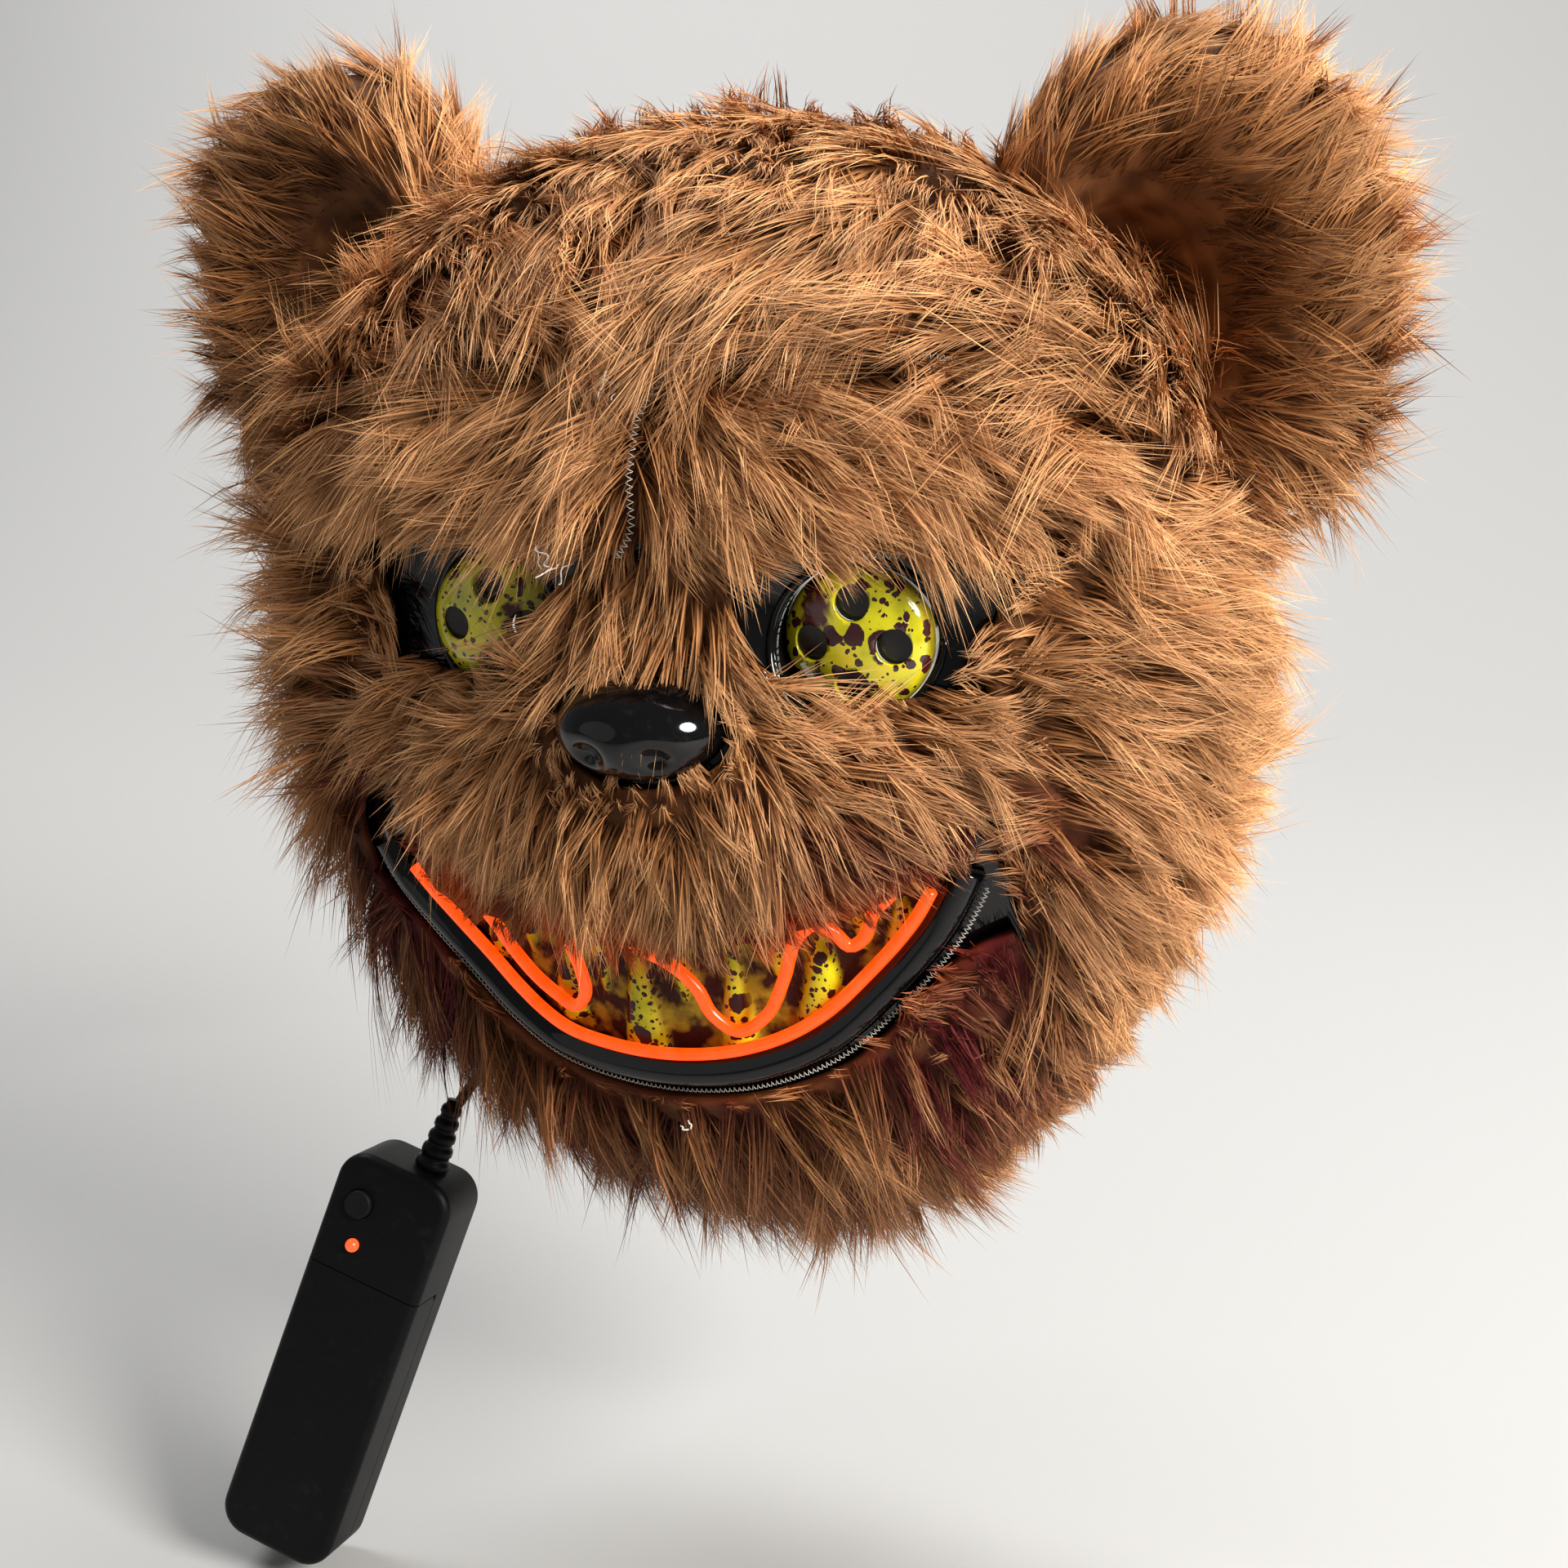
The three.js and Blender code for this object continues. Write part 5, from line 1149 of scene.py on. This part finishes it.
hairPatch("muzzle_hair", muzzle, {
    **common, "seed": 51, "length": 15.5, "sag": 0.12, "lift": 32.0, "lockRadius": 2.5, "press": 0.22, "glow": 1.0,
    "locksPerCm2": 14.2, "flow": muzzleFlow, "shorten": muzzleLength, "fringe": lambda p: 0.14,
    "fringeLength": lambda p: np.full(len(p), 4.5),
    # Painted shade: darker towards the bottom
    "paintedShade": lambda p, along: 0.45 * np.clip((-34 - p[:, 2]) / 25, 0, 1)})
chinPlace = patchPlace(edges["chinTop"], edges["chinFoot"], plush["chinDroop"])
backing("chin_backing", chinPlace, "chin_plush", 24, 84, 2.4)
hairPatch("chin_hair", chinPlace, {
    **common, "seed": 61, "length": 19.0, "sag": 0.22, "glow": 0.5,
    "fringe": lambda p: np.where(p[:, 0] > 50, 0.34, 0.03),
    "shorten": lambda p, along: 1 - 0.5 * np.clip((p[:, 0] - 38) / 25, 0, 1),
    # Painted shade: the chin darker, more so on the left
    "paintedShade": lambda p, along: 0.35 + 0.35 * np.clip(-p[:, 0] / 60, 0, 1)})


def headAt(points):  # how far out in the head's outline each point lies, and the face's Y there
    u = points[..., 0] / face["halfWidth"]
    w = (points[..., 2] + face["eyeLevel"]) / face["rise"]
    return np.hypot(power(u, 1.1), power(w, 1.1)) ** (1 / 1.1), facePoint(chart(u, w))[..., 1]


def onTheFace(place, lift):  # a place whose points behind the face's surface are brought out onto it
    def moved(across, along, height):
        point = place(across, along, height)
        share, surface = headAt(point)
        point[..., 1] = np.where(share < 1, np.minimum(point[..., 1], surface - lift), point[..., 1])
        return point

    return moved


def outsideHead(root):
    share, surface = headAt(root)
    return ~((share < 1.02) & (root[:, 1] > surface - 6))


for side, name in ((-1, "left"), (1, "right")):
    place = earPlace(side)
    pad = backing(f"ear_pad_{name}", onTheFace(place, 0.4), f"ear_{name}", 46, 66, 6.0, True)
    centre = np.array([side * (ear["across"] - 36.0) - face["lean"], -ear["back"], ear["above"] - 12.0])

    def earFlow(root, own, along, centre=centre):  # away from the head, over the cup and the rolled rim
        away = root - centre
        away[..., 1] *= 0.3
        cup = np.clip((along - 0.68) * 8, 0, 1)[:, None]
        return unit(away) + np.array([0.0, 0.0, -0.35]) * cup

    hairPatch(f"ear_hair_{name}", place, {
        **common, "seed": 71 + side, "length": 15.0, "lift": 15.0, "leastLift": 9.0, "rootHeight": 6.2,
        "span": (0.0, 0.995), "press": 0.12, "locksPerCm2": 7.4, "lockRadius": 3.8, "clump": 0.8, "flow": earFlow,
        "shorten": lambda p, along: (1 - 0.3 * np.clip((along - 0.64) / 0.1, 0, 1))
        * (1 - 0.3 * np.clip((p[:, 2] - 100) / 20, 0, 1)),
        # Painted shade in the ear's cup
        "paintedShade": lambda p, along: 1.15 * np.clip((along - 0.6) / 0.14, 0, 1)}, keep=outsideHead)
print("pile made")


# Stitches and stray threads
def overlock(name, path, normal, width, pitch, radius):
    # A thread that zigzags over an edge: side to side by a triangle wave, up by its height over the edge
    run = np.concatenate([[0], np.cumsum(np.linalg.norm(np.diff(path, axis=0), axis=1))])
    count = int(run[-1] / pitch) * 4
    at = np.linspace(0, run[-1], count)
    centre = np.stack([np.interp(at, run, path[:, k]) for k in range(3)], -1)
    over = unit(np.stack([np.interp(at, run, normal[:, k]) for k in range(3)], -1))
    tangent = unit(np.gradient(centre, axis=0))
    side = unit(np.cross(over, tangent))
    phase = np.arange(count) % 4
    swing = np.array([-1.0, 0.0, 1.0, 0.0])[phase][:, None]
    high = np.array([0.2, 1.0, 0.2, 1.0])[phase][:, None]
    points = centre + side * swing * width / 2 + over * high * width * 0.35
    obj = tubeAlong(name, points, radius, 5)
    return dress(obj, threadWhite, "root", "fur")


def seamPath(spots, lift, count):
    return lifted(spots, np.full(len(spots), lift)), faceNormal(spots)


t = np.linspace(0, 1, 260)
under = lipLine(-0.9, 0.03 + 0.94 * t)
spots = spotAt(under[:, 0], under[:, 1])
path, over = seamPath(spots, 2.3, 260)
overlock("lip_stitches", path, over, 1.4, 1.2, 0.11)
seams = [
    ("seam_centre", [[0.13, 0.6], [0.06, 0.585], [0.012, 0.53], [0.0, 0.45], [0.0, 0.37], [-0.03, 0.325]], 9.6),
    ("seam_brow_right", [[0.1, 0.585], [0.193, 0.612], [0.405, 0.63], [0.6, 0.568]], 7.8),
    ("hem_brow_left", [[-0.6, 0.315], [-0.376, 0.318], [-0.174, 0.318], [-0.03, 0.315]], 5.0),
    ("hem_brow_right", [[0.03, 0.315], [0.174, 0.318], [0.376, 0.318], [0.6, 0.315]], 5.0),
]
for name, stations, lift in seams:
    s = np.array(stations)
    spots = spline(chart(s[:, 0], s[:, 1]), np.linspace(0, 1, 120))
    path, over = seamPath(spots, lift, 120)
    overlock(name, path, over, 1.6, 1.5, 0.11)


def looseThread(name, place, spread, count, length, radius, seed):
    wild = np.random.default_rng(seed)
    parts = []
    for k in range(count):
        start = np.array(place) + wild.normal(size=3) * spread * [1, 0.3, 1]
        heading = unit(wild.normal(size=3) + [0, -0.4, 0])
        s = np.linspace(0, 1, 14)[:, None]
        bend = wild.normal(size=3) * 0.6
        parts.append(start + length * (heading * s + bend * s * s + 0.12 * np.sin(9 * s + k) * wild.normal(size=3)))
    pieces = [tubeAlong(f"{name}_{k}", p, radius, 5) for k, p in enumerate(parts)]
    for piece in pieces:
        dress(piece, threadWhite, "root", "fur")


looseThread("thread_brow", (-6.5, -86, 53), 1.2, 4, 5.0, 0.16, 4)
looseThread("thread_hem", (-18, -95, 16.5), 1.2, 5, 4.5, 0.16, 6)
looseThread("lint_chin", (-1.4, -76, -118.5), 0.3, 2, 2.2, 0.2, 8)
print("stitches made")

# Battery pack, lead's ends and strap
pack = {
    "width": 33.0, "thickness": 22.0, "length": 111.0, "corner": 8.0, "edge": 2.5, "cover": 79.0, "share": 0.6,
    "turn": (-17.2, 17.6), "place": (-107.4, -66.5, -205.6), "cell": 7.1, "cellLength": 50.0, "bayDrop": 4.0,
    "gap": 0.3, "button": 3.7, "lamp": 1.8, "sunk": 2.0,
}
a, b = (math.radians(v) for v in pack["turn"])
turnX = np.array([[1, 0, 0], [0, math.cos(a), -math.sin(a)], [0, math.sin(a), math.cos(a)]])
turnY = np.array([[math.cos(b), 0, math.sin(b)], [0, 1, 0], [-math.sin(b), 0, math.cos(b)]])
packTurn = turnY @ turnX


def packPlace(local):
    return np.asarray(local, float) @ packTurn.T + np.array(pack["place"])


def roundedBlock(name):
    # Outline rounded in X and Z, drawn in at the front and back edges by a quarter round
    half = np.array([pack["width"], pack["length"]]) / 2
    thick = pack["thickness"] / 2
    corner, edge = pack["corner"], pack["edge"]
    angle = np.linspace(0, math.pi / 2, 12)

    def outline(draw):
        r = corner - draw
        points = []
        for k, (sx, sz) in enumerate(((1, 1), (-1, 1), (-1, -1), (1, -1))):
            turned = angle + k * math.pi / 2
            centre = np.array([sx * (half[0] - corner), sz * (half[1] - corner)])
            points.append(centre + r * np.stack([np.cos(turned), np.sin(turned)], -1))
        return np.concatenate(points)

    rows = [(edge * (1 - math.sin(q)), -thick + edge * (1 - math.cos(q))) for q in angle]
    rows += [(d, -y) for d, y in rows[::-1]]
    rings = [np.insert(outline(d), 1, y, axis=1) for d, y in rows]
    count = len(rings[0])
    points = np.concatenate(rings + [[[0, -thick, 0], [0, thick, 0]]])
    total = len(rings) * count
    j = np.arange(count)
    last = (len(rings) - 1) * count
    tris = np.concatenate([np.stack([np.full(count, total), (j + 1) % count, j], -1),
                           np.stack([np.full(count, total + 1), last + j, last + (j + 1) % count], -1)])
    return tidy(meshFrom(name, packPlace(points), gridFaces(len(rings), count, True), tris))


def packBox(size, centre):
    corners = np.array([[x, y, z] for x in (-.5, .5) for y in (-.5, .5) for z in (-.5, .5)]) * size + centre
    quads = [[0, 1, 3, 2], [4, 6, 7, 5], [0, 4, 5, 1], [2, 3, 7, 6], [0, 2, 6, 4], [1, 5, 7, 3]]
    return tidy(meshFrom("cutter", packPlace(corners), quads, smooth=False))


def alongDepth(centre):  # places a turned piece in the pack with its axis front to back
    return lambda p: packPlace(np.stack([p[..., 0], p[..., 2], p[..., 1]], -1) + centre)


def alongLength(x, z=0.0):  # the same with its axis along the pack
    return lambda p: packPlace(p + np.array([x, 0, z]))


def packRod(radius, centre, length, sides=40):
    profile = [(0, -length / 2), (radius, -length / 2), (radius, length / 2), (0, length / 2)]
    return lathe("cutter", profile, alongDepth(centre), sides)


def crease(obj, degrees=35):
    for polygon in obj.data.polygons:
        polygon.use_smooth = True
    obj.data.set_sharp_from_angle(angle=math.radians(degrees))
    return obj


front = -pack["thickness"] / 2
coverTop = -pack["length"] / 2 + pack["cover"]
parting = front + pack["thickness"] * pack["share"]
bayHalf, bayDepth = 2 * pack["cell"] + pack["gap"], 2 * (pack["cell"] + pack["gap"])
bayLength = pack["cellLength"] + 2 * pack["gap"]
bayMiddle = coverTop - bayLength / 2 - pack["bayDrop"]
buttonAt = np.array([-0.23 * pack["width"], front, pack["length"] / 2 - 13])
lampAt = np.array([-0.17 * pack["width"], front, pack["length"] / 2 - 24])
big = 2 * pack["length"]
bay = [2 * bayHalf, bayDepth, bayLength]
housing = roundedBlock("pack_case")
carve(housing, packBox([big] * 3, [0, parting - big / 2, coverTop - big / 2]))
carve(housing, packBox(bay, [0, 0, bayMiddle]))
carve(housing, packRod(pack["button"] + pack["gap"], buttonAt, 2 * pack["sunk"]))
carve(housing, packRod(pack["lamp"] + pack["gap"], lampAt, 2 * pack["sunk"], 28))
dress(crease(housing), packLook, "root", "black_matt", "pack_housing")
cover = roundedBlock("pack_lid")
keepBox = packBox([big] * 3, [0, parting - pack["gap"] - big / 2, coverTop - pack["gap"] - big / 2])
carve(cover, keepBox, "INTERSECT")
bayFoot = bayMiddle - bayLength / 2
carve(cover, packBox([2 * bayHalf, bayDepth, 2 * bayLength], [0, 0, bayFoot + bayLength]))
carve(cover, packBox([2, 3, 3], [pack["width"] / 2, parting, coverTop]))
dress(crease(cover), packLook, "battery_cover", "black_matt", "battery_cover")

button = {"travel": 1.2, "proud": 1.5, "edge": 0.6, "dish": [(0, 0.35), (1.2, 0.3), (2.2, 0.12)]}
buttonLength = pack["sunk"] + button["proud"] - pack["gap"] - button["travel"]
bend = [(pack["button"] - button["edge"] * (1 - math.sin(q)), button["edge"] * (1 - math.cos(q)))
        for q in np.linspace(0, math.pi / 2, 7)]
profile = button["dish"] + bend + [(pack["button"], buttonLength), (0, buttonLength)]
pushButton = lathe("push_button", profile, alongDepth([buttonAt[0], front - button["proud"], buttonAt[2]]), 48)
dress(crease(pushButton, 50), buttonLook, "power_button", "black_matt", "power_button")
ball = [(pack["lamp"] * math.sin(q), -pack["lamp"] * math.cos(q)) for q in np.linspace(0, math.pi, 20)]
lampY = front + pack["sunk"] - pack["lamp"] - pack["gap"]
lampPiece = lathe("lamp_lens", ball, alongDepth([lampAt[0], lampY, lampAt[2]]), 32)
dress(lampPiece, lampLook, "root", "lamp", "indicator_light")
for side, name in ((-1, "left"), (1, "right")):
    r, half = pack["cell"] - 0.15, pack["cellLength"] / 2
    profile = [(0, -half), (r - 0.5, -half), (r, -half + 0.5), (r, half - 3.2), (r - 0.5, half - 2.6),
               (2.7, half - 2.4), (2.7, half - 0.3), (2.3, half), (0, half)]
    cell = crease(lathe(f"cell_{name}", profile, alongLength(side * pack["cell"], bayMiddle), 40))
    dress(cell, cellLook, "root", "cell_wrap", f"battery_cell_{name}")

relief = {"length": 19.0, "ribs": 5, "wide": 4.6, "narrow": 2.8, "across": 4.0}
start = pack["length"] / 2 + pack["gap"]
profile = [(0, start)]
pitchZ = relief["length"] / relief["ribs"]
for i in range(relief["ribs"]):
    r = relief["wide"] + (relief["narrow"] - relief["wide"]) * i / (relief["ribs"] - 1)
    low = start + pitchZ * i
    profile += [(r - 0.25, low), (r, low + 0.25), (r, low + 0.35 * pitchZ), (r - 0.25, low + 0.55 * pitchZ),
                (r - 0.8, low + 0.62 * pitchZ), (r - 0.85, low + pitchZ)]
profile.append((0, start + relief["length"]))
reliefPiece = lathe("lead_relief", profile, alongLength(relief["across"]), 48)
dress(reliefPiece, rubberLook, "root", "black_rubber", "strain_relief")

glandSpot = spotAt(*lead["gland"])
outward = faceNormal(glandSpot)
glandCentre = glandPoint(lead["glandLength"] / 2)
sideA = unit(np.cross(outward, [0, 0, 1.0]))
sideB = np.cross(outward, sideA)
h, r = lead["glandLength"] / 2, lead["glandRadius"]
profile = [(0, -h), (r - 0.9, -h), (r, -h + 0.9), (r, h - 0.4), (r - 0.4, h), (0, h)]


def glandPlace(p):
    return glandCentre + p[..., :1] * sideA + p[..., 1:2] * sideB + p[..., 2:] * outward


dress(crease(lathe("lead_collar", profile, glandPlace, 40)), rubberLook, "root", "black_gloss", "lead_gland")

strap = {"width": 22.0, "wall": 1.5, "lap": 12.0, "headLength": 195.0}
tiltS = math.acos((strap["lap"] / face["depth"]) ** (face["flatness"] / 2))
rightX = float(lifted(np.array([tiltS, 0.0]), -face["wall"])[0])
leftX = float(lifted(np.array([-tiltS, 0.0]), -face["wall"])[0])
middle, half = (leftX + rightX) / 2, (rightX - leftX) / 2
reach = strap["headLength"] - face["depth"]


def strapLine(draw):  # straight where it laps the shell, then half an ellipse round the back
    angle = np.linspace(0, math.pi, 150)
    arc = np.stack([middle + (half - draw) * np.cos(angle), (reach - draw) * np.sin(angle)], -1)
    ends = np.linspace(-strap["lap"], 0, 14)[:-1]
    first = np.stack([np.full(len(ends), middle + half - draw), ends], -1)
    last = np.stack([np.full(len(ends), middle - half + draw), ends[::-1]], -1)
    return np.concatenate([first, arc, last])


def strapGrid(draw, sign):  # one side of the band, with ribs by a cosine and rounded edges
    line = strapLine(draw)
    across = np.linspace(-1, 1, 31)
    relief = 0.09 * np.cos(across * 10 * math.pi) - 0.45 * np.abs(across) ** 12 - 0.12
    away = unit(line - strapLine(draw + 1.0))
    flat = line[:, None] + sign * away[:, None] * relief[None, :, None]
    z = np.broadcast_to(-face["eyeLevel"] + across * strap["width"] / 2, flat.shape[:2])
    return np.stack([flat[..., 0], flat[..., 1], z], -1)


strapPiece = closedSheet("head_elastic", strapGrid(0.35, 1), strapGrid(strap["wall"], -1))
dress(strapPiece, elasticLook, "root", "elastic", "head_strap")
print("pack, gland and strap made")


# Light
def areaLight(name, place, target, size, watts, colour):
    data = bpy.data.lights.new(name, "AREA")
    data.shape, data.size, data.energy, data.color = "DISK", size, watts, colour
    obj = bpy.data.objects.new(name, data)
    obj.location = place
    obj.rotation_euler = (Vector(target) - Vector(place)).to_track_quat("-Z", "Y").to_euler()
    bpy.context.scene.collection.objects.link(obj)


aim = (0, 0.05, -0.02)
lights = [  # name, place and target in metres, size, watts and colour
    ("key_right", (1.2, -0.34, 0.7), aim, 0.6, 46, (1.0, 0.97, 0.93)),
    ("fill_left", (-0.9, -0.9, 0.3), aim, 1.1, 0.9, (0.95, 0.97, 1.0)),
    ("top_back", (0.25, 0.45, 1.1), aim, 0.8, 11, (1.0, 0.99, 0.97)),
    ("backdrop_light", (-0.9, 0.8, 1.7), (-0.6, 1.9, 0.1), 1.0, 42, (1.0, 1.0, 1.0)),
]
for row in lights:
    areaLight(*row)
world = bpy.data.worlds.new("studio")
bpy.context.scene.world = world
world.use_nodes = True
sky = world.node_tree.nodes["Background"]
sky.inputs["Color"].default_value = (0.95, 0.97, 1.0, 1)
sky.inputs["Strength"].default_value = 0.16
bpy.context.scene.view_settings.view_transform = "Standard"
